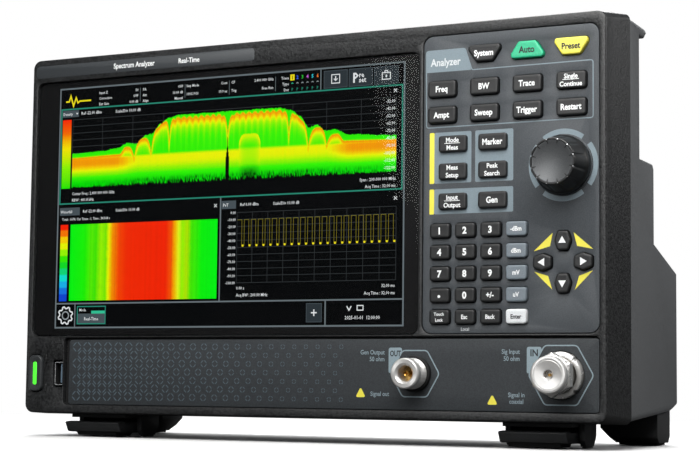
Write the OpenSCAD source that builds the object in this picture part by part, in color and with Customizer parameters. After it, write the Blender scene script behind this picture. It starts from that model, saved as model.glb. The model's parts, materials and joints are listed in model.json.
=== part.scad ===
// Benchtop spectrum analyzer with a touch screen, a keypad and two front ports.
// Each piece is drawn in the front face's own frame: x to the right, y back from the
// face and z up from the face's centre. stand() then moves it onto its feet, with the
// origin on the ground under the middle of the object.

/* [Case] */
// Width of the case at the seam between bezel and cover
case_w = 358; // [356:0.5:360]
// Height of the case at the seam, without feet
case_h = 206.8; // [206.4:0.2:207.2]
// How far the seam's middle sits above the face's middle
seam_lift = 0.6; // [0.5:0.1:0.7]
// Depth from the front face to the back
case_d = 121; // [120:0.5:122]
// Width of the front face
face_w = 348.4; // [348:0.2:349]
// Height of the front face
face_h = 203.8; // [203.4:0.2:204.2]
// Depth of the front bezel
bezel_d = 23.5; // [23:0.5:24]
// Wall thickness of the bezel's sides
bezel_wall = 2.6; // [2.4:0.1:2.8]
// Thickness of the bezel's front wall
front_wall = 3; // [2.8:0.1:3.2]
// Wall thickness of the rear cover
cover_wall = 2.5; // [2.3:0.1:2.6]
// Height of the feet under the case
foot_h = 12.2; // [12:0.1:12.4]

/* [Front panel] */
// Screen glass: left, right, bottom and top edge
glass_box = [-170.2, 72.8, -58.2, 88.3];
// Keypad panel: left, right, bottom and top edge
panel_box = [75.5, 170.3, -57.9, 95.8];
// Connector fascia: left, right, bottom and top edge
fascia_box = [-144.4, 170.1, -96.9, -60.5];
// Gap between a panel and the bezel around it
panel_gap = 0.25; // [0.2:0.05:0.3]
// Width of the groove at the fascia's left edge
groove_w = 3; // [2.5:0.5:3.5]

/* [Keys] */
// How far a key stands out of the panel
key_out = 1.7; // [1.4:0.1:2]
// Travel of a key
key_travel = 1.1; // [0.9:0.1:1.1]
// Gap between a key and its hole
key_gap = 0.35; // [0.3:0.05:0.4]
// Width and height of a function key
fkey = [15.5, 8.5];
// Width and height of a numeric key
nkey = [11, 7.3];

/* [Knob] */
// Centre of the knob
knob_at = [151.6, 25.5];
// Radius of the knob at its base
knob_r = 14.7; // [14.4:0.1:15]
// Radius of the knob at its front
knob_front_r = 11.7; // [11:0.1:12]
// How far the knob stands out of the face
knob_out = 16; // [15:0.5:17]

/* [Ports] */
// Centre of the generator output
tg_at = [71.3, -78.3];
// Radius of the generator output's thread
tg_r = 7.9; // [7.8:0.05:8]
// How far the generator output stands out
tg_out = 12.5; // [12:0.5:13]
// Centre of the input port
rf_at = [150.2, -78.6];
// Radius of the input port's nose
rf_r = 9.3; // [9:0.1:9.5]
// How far the input port stands out, the furthest of all pieces
rf_out = 18; // [17:0.5:19]

/* [Handle and feet] */
// Length of the carrying handle
handle_w = 150; // [140:1:160]
// Depth and height of the handle's hinge line
handle_axis = [51.5, 100.5];
// Radius of the handle's hinge pins
handle_pin_r = 2.5; // [2.3:0.1:2.7]
// Inner and outer edge of a front foot, left and right alike
front_foot_x = [111.2, 153.9];
// Depth and height of the tilt legs' hinge line
leg_axis = [33, -108.8];
// Radius of the tilt legs' hinge pins
leg_pin_r = 1.5; // [1.3:0.1:1.6]
// Radial running gap of the hinge pins
pin_gap = 0.05; // [0.03:0.01:0.08]

/* [Hidden] */
$fn = 48;
face_y = (rf_out - case_d) / 2;
face_z = foot_h + case_h / 2 - seam_lift;
ground = -face_z;
// Small overlap that makes a cut go cleanly through a face
cut = 1;

// Depths of the layers behind the face
glass_y = [0.8, 2.6];
lcd_y = [2.6, 9];
panel_y = [0.4, 2.4];
flange_back_y = 4.6;
key_flange_y = [2.75, 3.6];
key_back_y = 4.6;
mat_y = [key_back_y + key_travel + 0.2, 6.3, 7];
board_y = [7, 8.6];
chassis_y = [19, 20.2];
main_board_y = [26, 27.6];

// The stepped back: a thin upper part and a deep lower part
upper_back_y = 45;
lip_back_y = 58;
lip_z = 97;
step_y = 73;
step_z = 33;
cover_front = [356, -102, 103.4];
cover_back = [348.4, -97];
shelf_z = -93;
recess_box = [-158, 158, -88, -32];
recess_d = 12.5;
rear_panel_y = [case_d - recess_d - 1.5, case_d - recess_d];

// Keys: name, centre, shape and colour. A shape is a width and height, "down" or "up"
// for the keys that narrow downwards or upwards, or an arrow key's direction.
column_x = 86.4;
column_pitch = 23.3;
row_z = [67.75, 54.3];
side_x = [92.5, 114.4];
side_z = [39.1, 24.9, 9.5];
top_z = 84.9;
pad_at = [151.7, -22.75];
pad_step = 10.6;
arrow_size = [8.8, 9.7];
num_x0 = 85.6;
num_z0 = -5.5;
num_pitch = [13.93, 11];
black = [0.14, 0.15, 0.16];
function column(i) = column_x + i * column_pitch;
function num_at(i, j) = [num_x0 + i * num_pitch[0], num_z0 - j * num_pitch[1]];
KEYS = [
    ["key_freq", [column(0), row_z[0]], fkey, black],
    ["key_bandwidth", [column(1), row_z[0]], fkey, black],
    ["key_trace", [column(2), row_z[0]], fkey, black],
    ["key_single", [column(3), row_z[0]], fkey, black],
    ["key_amplitude", [column(0), row_z[1]], fkey, black],
    ["key_sweep", [column(1), row_z[1]], fkey, black],
    ["key_trigger", [column(2), row_z[1]], fkey, black],
    ["key_restart", [column(3), row_z[1]], fkey, black],
    ["key_mode", [side_x[0], side_z[0]], fkey, black],
    ["key_marker", [side_x[1], side_z[0]], fkey, black],
    ["key_measure", [side_x[0], side_z[1]], fkey, black],
    ["key_peak", [side_x[1], side_z[1]], fkey, black],
    ["key_input", [side_x[0], side_z[2]], fkey, black],
    ["key_generator", [side_x[1], side_z[2]], fkey, black],
    ["key_system", [column(1), top_z], "down", black],
    ["key_auto", [column(2), top_z], "up", [0.12, 0.66, 0.47]],
    ["key_preset", [column(3), top_z], "down", [0.91, 0.88, 0.31]],
    ["key_arrow_up", pad_at + [0, pad_step], 0, black],
    ["key_arrow_left", pad_at - [pad_step, 0], 90, black],
    ["key_arrow_down", pad_at - [0, pad_step], 180, black],
    ["key_arrow_right", pad_at + [pad_step, 0], 270, black],
    ["key_lock", num_at(0, 4), nkey, black],
    ["key_escape", num_at(1, 4), nkey, black],
    ["key_back", num_at(2, 4), nkey, black],
    ["key_enter", num_at(3, 4), nkey, [0.85, 0.87, 0.88]]
];
NUMBER_KEYS = [for (i = [0:2], j = [0:3]) num_at(i, j)];
UNIT_KEYS = [for (j = [0:3]) num_at(3, j)];

// Bezel posts and panel posts that carry the chassis, in x and z
BEZEL_POSTS = [[-166, 94], [-60, 94], [50, 94], [-160, -63.4]];
LCD_POSTS = [for (x = [-152, 59], z = [-48, 78]) [x, z]];
PANEL_POSTS = [[97.5, 91], [144.6, 92.3], [98, 61], [121.3, 61], [126.5, 16], [139.5, -36], [167, 8]];
FASCIA_POSTS = [[-120, -79], [-20, -79], [110, -79]];
PLATE_SCREWS = concat(BEZEL_POSTS, FASCIA_POSTS, LCD_POSTS);
BACK_SCREWS = [for (x = [-166, 166], z = [-84, -36]) [x, z]];
BNC_AT = [[-96, -50], [-70, -50], [-44, -50], [-18, -50]];
POWER_AT = [-166.75, -79.5];
USB_AT = [-151.6, -79.6];
INLET_AT = [-132, -60];
ROCKER_AT = [-132, 106, -44.5];
LAN_AT = [34, -52];
HOST_AT = [[62, -52], [74, -52]];
DEVICE_AT = [94, -52];
VIDEO_AT = [118, -52];
// Window of the data sockets in the rear panel, and the seams between their plates
DATA_WINDOW = [24, 128, -60.5, -43.5];
DATA_SEAMS = [24, 50, 68, 82, 106, 128];
FAN_AT = [-162, 81, -55];

// ---------- shared shapes ----------

// Moves a piece from the face's frame onto the ground
module stand() {
    translate([0, face_y, face_z]) children();
}

// Extrudes a front-view outline from depth y0 back to depth y1
module layer(y0, y1) {
    translate([0, y1, 0]) rotate([90, 0, 0]) linear_extrude(y1 - y0) children();
}

// Extrudes a side-view outline, drawn as (depth, height), over a width about x
module profile(w) {
    rotate([90, 0, 90]) linear_extrude(w, center = true) children();
}

// A cylinder along y, between two depths
module rod_y(at, r, y0, y1) {
    translate([at[0], y1, at[1]]) rotate([90, 0, 0]) cylinder(r = r, h = y1 - y0);
}

// A cylinder along x, centred on a point
module rod_x(at, r, w) {
    translate(at) rotate([0, 90, 0]) cylinder(r = r, h = w, center = true);
}

// A box between two corners
module block(low, high) {
    translate(low) cube(high - low);
}

// A rectangle with rounded corners, centred
module rounded_rect(w, h, r) {
    square([w - 2 * r, h], center = true);
    square([w, h - 2 * r], center = true);
    for (sx = [-1, 1], sz = [-1, 1])
        translate([sx * (w / 2 - r), sz * (h / 2 - r)]) circle(r);
}

// The same between stated edges, grown by a margin on every side
module rounded_box(box, r, grow = 0) {
    translate([(box[0] + box[1]) / 2, (box[2] + box[3]) / 2])
        rounded_rect(box[1] - box[0] + 2 * grow, box[3] - box[2] + 2 * grow, r + grow);
}

// Both halves of a left and right pair
module pair() {
    children();
    mirror([1, 0, 0]) children();
}

// ---------- keys ----------

// Outline of a key that narrows to one end, grown by a margin
function taper_outline(grow, up) =
    let (w = 8.7 + grow, n = 4.6 + grow, h = 4.3 + grow, s = up ? -1 : 1)
    [[-w, s * h], [w, s * h], [w, s * 1.8], [n, -s * h], [-n, -s * h], [-w, s * 1.8]];

// Outline of an arrow key that points up, grown by a margin
function arrow_outline(grow) =
    let (w = arrow_size[0] / 2 + grow, n = 2.7 + grow / 2, h = arrow_size[1] / 2 + grow)
    [[-n, h], [n, h], [w, 0], [n, -h], [-n, -h], [-w, 0]];

// Front view of one key of a given shape
module key_outline(shape, grow = 0) {
    if (shape == "down")
        polygon(taper_outline(grow, false));
    else if (shape == "up")
        polygon(taper_outline(grow, true));
    else if (is_num(shape))
        rotate(shape) polygon(arrow_outline(grow));
    else
        rounded_rect(shape[0] + 2 * grow, shape[1] + 2 * grow, 1.5 + grow);
}

// Cap, retaining flange behind the panel, and the stem that presses the rubber mat
module key_solid(at, shape) {
    translate([at[0], 0, at[1]]) {
        layer(-key_out, key_flange_y[0]) key_outline(shape);
        layer(key_flange_y[0], key_flange_y[1]) key_outline(shape, 0.9);
        rod_y([0, 0], 2.4, key_flange_y[1], key_back_y);
    }
}

module key(k) {
    stand() color(k[3]) key_solid(k[1], k[2]);
}

module keys_digits() {
    stand() color(black)
        for (at = NUMBER_KEYS) key_solid(at, nkey);
}

module keys_units() {
    stand() color([0.46, 0.5, 0.53])
        for (at = UNIT_KEYS) key_solid(at, nkey);
}

// ---------- front ----------

// The bezel flares from the face to the seam, with a rounded front edge
module bezel_outside() {
    hull() {
        layer(0, 0.2) rounded_rect(face_w - 2, face_h - 2, 4.2, $fn = 32);
        layer(1, 1.2) rounded_rect(face_w, face_h, 5, $fn = 32);
        translate([0, 0, seam_lift])
            layer(bezel_d - 0.2, bezel_d) rounded_rect(case_w, case_h, 3.5, $fn = 32);
    }
}

module bezel_inside() {
    w = 2 * bezel_wall;
    hull() {
        layer(front_wall, front_wall + 0.2) rounded_rect(face_w - w, face_h - w, 4, $fn = 32);
        translate([0, 0, seam_lift])
            layer(bezel_d, bezel_d + 0.2) rounded_rect(case_w - w, case_h - w, 3, $fn = 32);
    }
}

// Fascia opening, with the groove along its left edge
function fascia_window() = [fascia_box[0] - groove_w, fascia_box[1], fascia_box[2], fascia_box[3] + 0.9];

module power_outline(grow = 0) {
    translate(POWER_AT) rounded_rect(9.3 + 2 * grow, 20.6 + 2 * grow, 3.6 + grow);
}

module front_bezel() {
    stand() color([0.23, 0.24, 0.25]) {
        difference() {
            bezel_outside();
            bezel_inside();
            layer(-cut, front_wall + cut) {
                rounded_box(glass_box, 4, panel_gap);
                rounded_box(panel_box, 5, panel_gap);
                rounded_box(fascia_window(), 2, panel_gap);
                power_outline(key_gap);
                translate(USB_AT) rounded_rect(7.2, 15.8, 1);
            }
        }
        for (at = BEZEL_POSTS) difference() {
            rod_y(at, 3.4, front_wall, chassis_y[0]);
            rod_y(at, 1.3, 8, chassis_y[0] + cut);
        }
    }
}

module touch_glass() {
    stand() color([0.05, 0.05, 0.06]) layer(glass_y[0], glass_y[1]) rounded_box(glass_box, 4);
}

module lcd_module() {
    box = [-160.5, 67.5, -56, 86.5];
    stand() color([0.1, 0.11, 0.12]) {
        layer(lcd_y[0], lcd_y[1]) rounded_box(box, 1);
        for (at = LCD_POSTS) difference() {
            rod_y(at, 3.4, lcd_y[1], chassis_y[0]);
            rod_y(at, 1.3, 9.5, chassis_y[0] + cut);
        }
    }
}

module keypad_panel() {
    rim = 1.8;
    stand() color([0.36, 0.38, 0.4]) {
        difference() {
            layer(panel_y[0], panel_y[1]) rounded_box(panel_box, 5);
            for (k = KEYS) translate([k[1][0], 0, k[1][1]])
                layer(-cut, panel_y[1] + cut) key_outline(k[2], key_gap);
            for (at = concat(NUMBER_KEYS, UNIT_KEYS)) translate([at[0], 0, at[1]])
                layer(-cut, panel_y[1] + cut) key_outline(nkey, key_gap);
            rod_y(knob_at, 3.8, -cut, panel_y[1] + cut);
        }
        layer(panel_y[1], front_wall) difference() {
            rounded_box(panel_box, 5);
            rounded_box(panel_box, 5, -0.9);
        }
        layer(front_wall, flange_back_y) difference() {
            rounded_box(panel_box, 5, rim / 2);
            rounded_box(panel_box, 5, -0.9);
        }
        for (at = PANEL_POSTS) difference() {
            rod_y(at, 1.7, panel_y[1], mat_y[2]);
            rod_y(at, 0.8, 3.6, mat_y[2] + cut);
        }
    }
}

module keypad_mat() {
    stand() color([0.55, 0.56, 0.57]) {
        layer(mat_y[1], mat_y[2]) difference() {
            rounded_box(panel_box, 5, -1.5);
            for (at = PANEL_POSTS) translate(at) circle(2.1);
            translate(knob_at) square(14, center = true);
        }
        for (k = KEYS) rod_y(k[1], 3, mat_y[0], mat_y[1]);
        for (at = concat(NUMBER_KEYS, UNIT_KEYS)) rod_y(at, 3, mat_y[0], mat_y[1]);
    }
}

module keypad_board() {
    stand() color([0.1, 0.32, 0.2]) {
        layer(board_y[0], board_y[1]) difference() {
            rounded_box(panel_box, 5, -1.2);
            for (at = PANEL_POSTS) translate(at) circle(1);
        }
        // flat-cable connector and driver chips on the back
        block([100, board_y[1], -20], [122, board_y[1] + 3, -14]);
        block([100, board_y[1], 20], [110, board_y[1] + 1.2, 30]);
        block([128, board_y[1], 40], [138, board_y[1] + 1.2, 50]);
    }
}

// Rotary encoder: its body on the board and the threaded bush through the panel
module encoder_body() {
    stand() color([0.6, 0.61, 0.62]) translate([knob_at[0], 0, knob_at[1]]) difference() {
        union() {
            block([-6.2, 2.8, -6.2], [6.2, board_y[0], 6.2]);
            rod_y([0, 0], 3.45, -5, 2.8);
        }
        rod_y([0, 0], 2 + pin_gap, -5 - cut, 6);
    }
}

// Knob with its metal shaft pressed in: twelve notches round the rim, a dished face
module control_knob() {
    base_y = -0.9;
    front_y = -knob_out;
    stand() translate([knob_at[0], 0, knob_at[1]]) {
        color([0.12, 0.12, 0.13]) difference() {
            // turned outline, with the axis up and the front face at the top
            rotate([90, 0, 0]) rotate_extrude() polygon([
                [0, -base_y + 5.6], [11.2, -base_y + 5.6], [11.2, -base_y], [knob_r, -base_y],
                [knob_r, -base_y + 2], [knob_r - 0.8, -base_y + 3.2],
                [knob_front_r + 0.5, -front_y - 1.2], [knob_front_r, -front_y - 0.3],
                [knob_front_r - 0.6, -front_y], [9.4, -front_y], [7, -front_y - 0.7], [0, -front_y - 1]
            ]);
            for (a = [15:30:345]) rotate([0, a, 0])
                rod_y([0, knob_front_r + 1.3], 1.4, front_y - cut, front_y + 9);
            rod_y([0, 0], 3, front_y + 3, base_y);
        }
        color([0.7, 0.7, 0.72]) {
            rod_y([0, 0], 3, front_y + 3, -5.3);
            rod_y([0, 0], 2, -5.3, 5.8);
        }
    }
}

module connector_fascia() {
    stand() color([0.25, 0.26, 0.27]) difference() {
        union() {
            layer(0.6, front_wall) rounded_box(fascia_box, 1.6);
            layer(front_wall, flange_back_y) rounded_box(fascia_window(), 2, 0.6);
            for (at = FASCIA_POSTS) rod_y(at, 3.4, flange_back_y, chassis_y[0]);
        }
        rod_y(tg_at, 8.75, -cut, flange_back_y + cut);
        rod_y(rf_at, 12.1, -cut, flange_back_y + cut);
        for (at = FASCIA_POSTS) rod_y(at, 1.3, 8, chassis_y[0] + cut);
    }
}

// Generator output: a threaded coaxial socket with a centre contact
module generator_port() {
    stand() color([0.72, 0.68, 0.6]) translate([tg_at[0], 0, tg_at[1]]) {
        difference() {
            union() {
                rod_y([0, 0], tg_r, -tg_out, -0.4);
                rod_y([0, 0], tg_r + 0.5, -0.4, flange_back_y);
                rod_y([0, 0], 11, flange_back_y, 7);
                rod_y([0, 0], 4.5, 7, 15);
            }
            rod_y([0, 0], 4.1, -tg_out - cut, -2.5);
            rod_y([0, 0], 1.9, 11, 15 + cut);
        }
        rod_y([0, 0], 1.5, -10, -2.5);
    }
}

// Input port: a rugged coaxial connector with a flange, a neck, a hexagon and a nose
module input_port() {
    stand() color([0.74, 0.7, 0.62]) translate([rf_at[0], 0, rf_at[1]]) {
        difference() {
            union() {
                rod_y([0, 0], 11.7, -2, 7);
                rod_y([0, 0], 9, -8.2, -2);
                translate([0, -8, 0]) rotate([90, 0, 0]) cylinder(r = 11, h = 6, $fn = 6);
                rod_y([0, 0], rf_r, -rf_out + 0.8, -14);
                translate([0, -rf_out + 0.8, 0]) rotate([90, 0, 0])
                    cylinder(r1 = rf_r, r2 = rf_r - 1, h = 0.8);
                rod_y([0, 0], 4.5, 7, 15);
            }
            rod_y([0, 0], 2.4, -rf_out - cut, -9);
            rod_y([0, 0], 1.9, 11, 15 + cut);
        }
        rod_y([0, 0], 0.7, -16, -9);
    }
}

// Upright type-A socket: a metal shell with the contact tongue inside
module front_usb_port() {
    stand() color([0.75, 0.76, 0.78]) translate([USB_AT[0], 0, USB_AT[1]]) {
        difference() {
            layer(1.2, 16) rounded_rect(5.7, 13.1, 0.6);
            layer(1.2 - cut, 14) rounded_rect(5.1, 12.5, 0.4);
        }
        block([0.3, 2.6, -5.5], [2.1, 14, 5.5]);
    }
}

module power_button() {
    stand() color([0.55, 0.58, 0.6]) difference() {
        union() {
            layer(-1.4, 3.4) power_outline();
            // retaining tabs above and below, clear of the side wall
            translate([POWER_AT[0], 0, POWER_AT[1]]) layer(3.4, 4.4) rounded_rect(9, 23, 3.4);
            rod_y(POWER_AT, 2.4, 4.4, 6.5);
        }
        translate([POWER_AT[0], 0, POWER_AT[1]])
            layer(-1.4 - cut, 2.5) rounded_rect(2.7, 13.2, 1.2);
    }
}

// Light pipe let into the power button
module power_light_bar() {
    stand() color([0.2, 0.8, 0.3]) translate([POWER_AT[0], 0, POWER_AT[1]])
        layer(-1.3, 2.5) rounded_rect(2.7, 13.2, 1.2);
}

// ---------- rear cover ----------

// Side outline of the stepped cover, moved inwards by a wall thickness t
function cover_outline(t) = [
    [bezel_d - (t > 0 ? cut : 0), cover_front[1] + t],
    [107 - t / 2, cover_back[1] + t],
    [case_d - t, -93 + t / 2],
    [case_d - t, -21.6 - t],
    [step_y - t, -8.8 - t],
    [step_y - t, 30.6 - t],
    [step_y - 2.4 - t / 2, step_z - t],
    [upper_back_y - t, step_z - t],
    [upper_back_y - t, t > 0 ? cover_front[2] - t : lip_z],
    [t > 0 ? upper_back_y - t : lip_back_y - 3, t > 0 ? cover_front[2] - t : lip_z],
    [t > 0 ? upper_back_y - t : lip_back_y, t > 0 ? cover_front[2] - t : lip_z + 3.4],
    [t > 0 ? upper_back_y - t : lip_back_y - 1.6, cover_front[2] - t],
    [bezel_d - (t > 0 ? cut : 0), cover_front[2] - t]
];

// Front-view envelope of the cover, which narrows towards the back
module cover_envelope(t) {
    h = cover_front[2] - cover_front[1] - 2 * t;
    hull() {
        translate([0, 0, (cover_front[1] + cover_front[2]) / 2])
            layer(bezel_d - (t > 0 ? 2 : 0), bezel_d + 0.2)
                rounded_rect(cover_front[0] - 2 * t, h, 3.5 - t, $fn = 32);
        translate([0, 0, (cover_back[1] + cover_front[2]) / 2])
            layer(case_d - 0.2, case_d)
                rounded_rect(cover_back[0] - 2 * t, cover_front[2] - cover_back[1] - 2 * t, 3.5 - t, $fn = 32);
    }
}

module cover_solid(t) {
    intersection() {
        profile(case_w) polygon(cover_outline(t));
        cover_envelope(t);
    }
}

// Slots of a round air grille in the side wall, centred on the fan
module grille_slots() {
    reach = 23;
    pitch = 5;
    for (i = [-4:4])
        translate([FAN_AT[0] - 14, FAN_AT[1], FAN_AT[2] + i * pitch])
            cube([12, 2 * sqrt(reach * reach - i * i * pitch * pitch), 2.4], center = true);
}

module rear_cover() {
    notch = handle_w / 2 + 0.6;
    stand() color([0.45, 0.46, 0.47]) difference() {
        union() {
            difference() {
                cover_solid(0);
                cover_solid(cover_wall);
            }
            // collar that leads from the back in to the connector panel
            layer(rear_panel_y[1], case_d - 0.5) rounded_box(recess_box, 5, 2);
            // screw bosses at the back
            for (at = BACK_SCREWS) rod_y(at, 4.6, rear_panel_y[1], case_d - 1);
        }
        layer(rear_panel_y[1] - cut, case_d + cut) rounded_box(recess_box, 5);
        for (at = BACK_SCREWS) {
            rod_y(at, 2.1, rear_panel_y[1] - cut, case_d + cut);
            rod_y(at, 3.8, case_d - 4.5, case_d + cut);
        }
        // notch in the top lip for the handle, with its hinge bores
        block([-notch, upper_back_y, lip_z - cut], [notch, lip_back_y + cut, cover_front[2] + cut]);
        rod_x([0, handle_axis[0], handle_axis[1]], handle_pin_r + pin_gap, handle_w + 16);
        grille_slots();
    }
}

// Handle that hangs behind the upper part and swings up over the top
module carry_handle() {
    axis = handle_axis;
    arm_w = 11;
    grip_z = 52;
    arm_x = handle_w / 2 - arm_w / 2;
    stand() color([0.15, 0.15, 0.16]) {
        pair() {
            rod_x([arm_x, axis[0], axis[1]], 3.4, arm_w);
            block([arm_x - arm_w / 2, axis[0] - 3.4, grip_z], [arm_x + arm_w / 2, axis[0] + 3.4, axis[1]]);
            rod_x([handle_w / 2 + 3, axis[0], axis[1]], handle_pin_r, 8);
        }
        hull() for (y = [51.5, 56], z = [grip_z - 6, grip_z + 6])
            rod_x([0, y, z], 5, handle_w, $fn = 32);
    }
}

// ---------- feet ----------

function foot_mid() = (front_foot_x[0] + front_foot_x[1]) / 2;
function foot_w() = front_foot_x[1] - front_foot_x[0];

// Base of one front foot: a plate under the case with a cheek at each end for the leg
module front_foot() {
    cheek = 2.9;
    low = ground + 0.8;
    translate([foot_mid(), 0, 0]) difference() {
        union() {
            profile(foot_w() - 6) polygon([[14, -98], [30, -98], [30, -104.4], [14, -104.4]]);
            profile(foot_w()) polygon([[25.5, -98], [44, -98], [44, -104.4], [25.5, -104.4]]);
            for (s = [-1, 1]) translate([s * (foot_w() - cheek) / 2, 0, 0])
                profile(cheek) polygon([
                    [25.5, -104], [44, -104], [44, -109], [40, low], [28, low], [25.5, low + 3]
                ]);
            profile(foot_w()) polygon([[40.5, -104], [44, -104], [44, -109], [42.8, -111], [40.5, -111]]);
        }
        rod_x([0, leg_axis[0], leg_axis[1]], 4.9, foot_w() - 2 * cheek);
        rod_x([0, leg_axis[0], leg_axis[1]], leg_pin_r + pin_gap, foot_w() - 1);
    }
}

// Rear foot: a block whose inner end slopes in to its underside
module rear_foot() {
    low = ground + 1.2;
    intersection() {
        translate([155.7, 0, 0]) profile(32) polygon([
            [92, -94], [115, -92], [115, -110.5], [112, low], [95, low], [92, -111]
        ]);
        layer(90, 116) polygon([[139.8, -90], [171.6, -90], [171.6, low], [147.7, low], [139.8, -106]]);
    }
}

// The feet are drawn up into the case and then cut back to its underside
module case_feet() {
    stand() color([0.13, 0.13, 0.14]) pair() {
        difference() {
            front_foot();
            cover_solid(0);
            bezel_outside();
        }
        difference() {
            rear_foot();
            cover_solid(0);
        }
    }
}

// Rubber strips that the object stands on
module foot_pads() {
    stand() color([0.05, 0.05, 0.05]) pair() {
        for (x = [front_foot_x[0] + 0.4, front_foot_x[1] - 2.5])
            block([x, 28.5, ground], [x + 2.1, 39.5, ground + 0.8]);
        block([149, 96, ground], [170, 111, ground + 1.2]);
    }
}

// Fold-out leg: a barrel on the hinge line, a plate with a finger lip at the front, and
// a raised grip pad under it
module tilt_leg() {
    w = foot_w() - 6.6;
    low = ground + 0.6;
    translate([foot_mid(), 0, 0]) {
        rod_x([0, leg_axis[0], leg_axis[1]], 4.2, w);
        rod_x([0, leg_axis[0], leg_axis[1]], leg_pin_r, foot_w() - 1.6);
        profile(w) polygon([
            [7, -107.4], [7.8, -106.7], [13, -106.4], [15, -107.2], [leg_axis[0], -107],
            [leg_axis[0], -112.6], [12, -112.6], [9.6, -112]
        ]);
        profile(26.8) polygon([[11.5, -112.4], [30, -112.4], [26, low], [13.5, low]]);
    }
}

module tilt_leg_left() {
    stand() color([0.13, 0.13, 0.14]) mirror([1, 0, 0]) tilt_leg();
}

module tilt_leg_right() {
    stand() color([0.13, 0.13, 0.14]) tilt_leg();
}

// ---------- inside ----------

module chassis_frame() {
    plate_box = [-171, 171, -95, 98];
    stand() color([0.7, 0.71, 0.72]) difference() {
        union() {
            layer(chassis_y[0], chassis_y[1]) rounded_box(plate_box, 7);
            block([-168, chassis_y[1], shelf_z], [168, rear_panel_y[0], shelf_z + 1.2]);
            // upright bracket that carries the fan
            block([-152, 56, shelf_z], [-150.8, 104, -29]);
            for (x = [-130, -50, 30, 110], z = [-30, 85])
                rod_y([x, z], 3, chassis_y[1], main_board_y[0]);
            for (x = [-130, -30], y = [40, 95])
                translate([x, y, shelf_z + 1.2]) cylinder(r = 3, h = 4);
        }
        for (at = PLATE_SCREWS) rod_y(at, 1.7, chassis_y[0] - cut, chassis_y[1] + cut);
        rod_x([-151, FAN_AT[1], FAN_AT[2]], 23.4, 4);
        for (at = [tg_at, rf_at]) rod_y(at, 7, chassis_y[0] - cut, chassis_y[1] + cut);
        // window for the screen's flat cables
        block([-60, chassis_y[0] - cut, 10], [-20, chassis_y[1] + cut, 40]);
    }
}

module main_board() {
    y = main_board_y[1];
    stand() color([0.1, 0.32, 0.2]) {
        layer(main_board_y[0], y) rounded_box([-150, 150, -38, 92], 3);
        // processor with a finned heat sink, memory, and connectors
        block([-40, y, 25], [10, y + 3, 75]);
        for (i = [0:8]) block([-40 + i * 6, y + 3, 25], [-38 + i * 6, y + 12, 75]);
        for (x = [30, 46, 62, 78]) block([x, y, 40], [x + 11, y + 1.2, 58]);
        block([-120, y, 0], [-85, y + 2.5, 35]);
        block([-20, y, -34], [40, y + 8, -27]);
        for (x = [-110, -96, -82]) rod_y([x, 60], 5, y, y + 12);
    }
}

// Screened tuner block with a ribbed lid
module rf_module() {
    box = [[34, 34, shelf_z + 1.2], [164, 88, -48]];
    stand() color([0.78, 0.79, 0.8]) difference() {
        union() {
            block(box[0], box[1]);
            for (i = [0:10]) block([40 + i * 12, 36, -48], [43 + i * 12, 86, -41]);
            for (at = [tg_at, rf_at]) rod_y(at, 4, 30, 34);
        }
        for (at = [tg_at, rf_at]) rod_y(at, 1.9, 30 - cut, 33);
    }
}

// Semi-rigid coaxial lines from the two front ports back to the tuner block
module rf_cables() {
    stand() color([0.8, 0.7, 0.4])
        for (at = [tg_at, rf_at]) rod_y(at, 1.8, 11, 33);
}

module power_supply() {
    z = shelf_z + 5.2;
    stand() color([0.2, 0.3, 0.2]) {
        block([-140, 34, z], [-20, 102, z + 1.6]);
        block([-110, 50, z + 1.6], [-78, 80, z + 30]);
        for (y = [46, 64, 82]) translate([-60, y, z + 1.6]) cylinder(r = 7.5, h = 26);
        block([-44, 40, z + 1.6], [-41, 96, z + 28]);
        block([-136, 40, z + 1.6], [-120, 56, z + 16]);
        for (x = [-134, -128, -122]) block([x, 80, z + 1.6], [x + 4, 86, z + 10]);
    }
}

// Square fan housing with a spoked motor mount and its axle
module fan_frame() {
    size = 50;
    depth = 20;
    stand() color([0.12, 0.12, 0.13]) translate(FAN_AT) {
        difference() {
            cube([depth, size, size], center = true);
            rod_x([0, 0, 0], 23.4, depth + cut);
            for (y = [-20.5, 20.5], z = [-20.5, 20.5]) rod_x([0, y, z], 2, depth + cut);
        }
        translate([depth / 2 - 1, 0, 0]) {
            rod_x([0, 0, 0], 9, 2);
            for (a = [45:90:315]) rotate([a, 0, 0]) translate([0, 0, 16]) cube([2, 2.4, 15], center = true);
        }
        rod_x([-1, 0, 0], 1.5, 18);
    }
}

// Seven-bladed rotor
module fan_rotor() {
    stand() color([0.18, 0.18, 0.19]) translate(FAN_AT) difference() {
        union() {
            rod_x([-2, 0, 0], 10, 13);
            intersection() {
                rod_x([-2, 0, 0], 22.7, 13);
                for (i = [0:6]) rotate([i * 360 / 7, 0, 0]) translate([-2, 0, 16])
                    rotate([0, 0, 40]) cube([1.6, 15, 15], center = true);
            }
        }
        rod_x([-2, 0, 0], 1.5 + pin_gap, 14);
    }
}

// ---------- back panel ----------

// Sheets round the window of the data sockets: one at its left, three round the rest
module rear_panel() {
    y0 = rear_panel_y[0];
    y1 = rear_panel_y[1];
    seam = 0.2;
    w = DATA_WINDOW;
    stand() color([0.62, 0.63, 0.64]) difference() {
        layer(y0, y1) rounded_box([-171, 171, -91, -29], 4);
        layer(y0 - cut, y1 + cut) {
            for (at = BACK_SCREWS) translate(at) circle(1.95);
            translate(INLET_AT) square([27, 47], center = true);
            translate([w[0], w[2]]) square([w[1] - w[0], w[3] - w[2]]);
            translate([w[0], -95]) square([seam, 70]);
            for (z = [w[2], w[3] - seam]) translate([w[1] - cut, z]) square([50, seam]);
            translate([144, -82]) rounded_rect(7, 3, 1);
            for (at = BNC_AT) translate(at) circle(4.9);
            // air slots
            for (x = [-100:8:132]) translate([x, -76]) rounded_rect(3, 14, 1.4);
        }
    }
}

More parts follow.
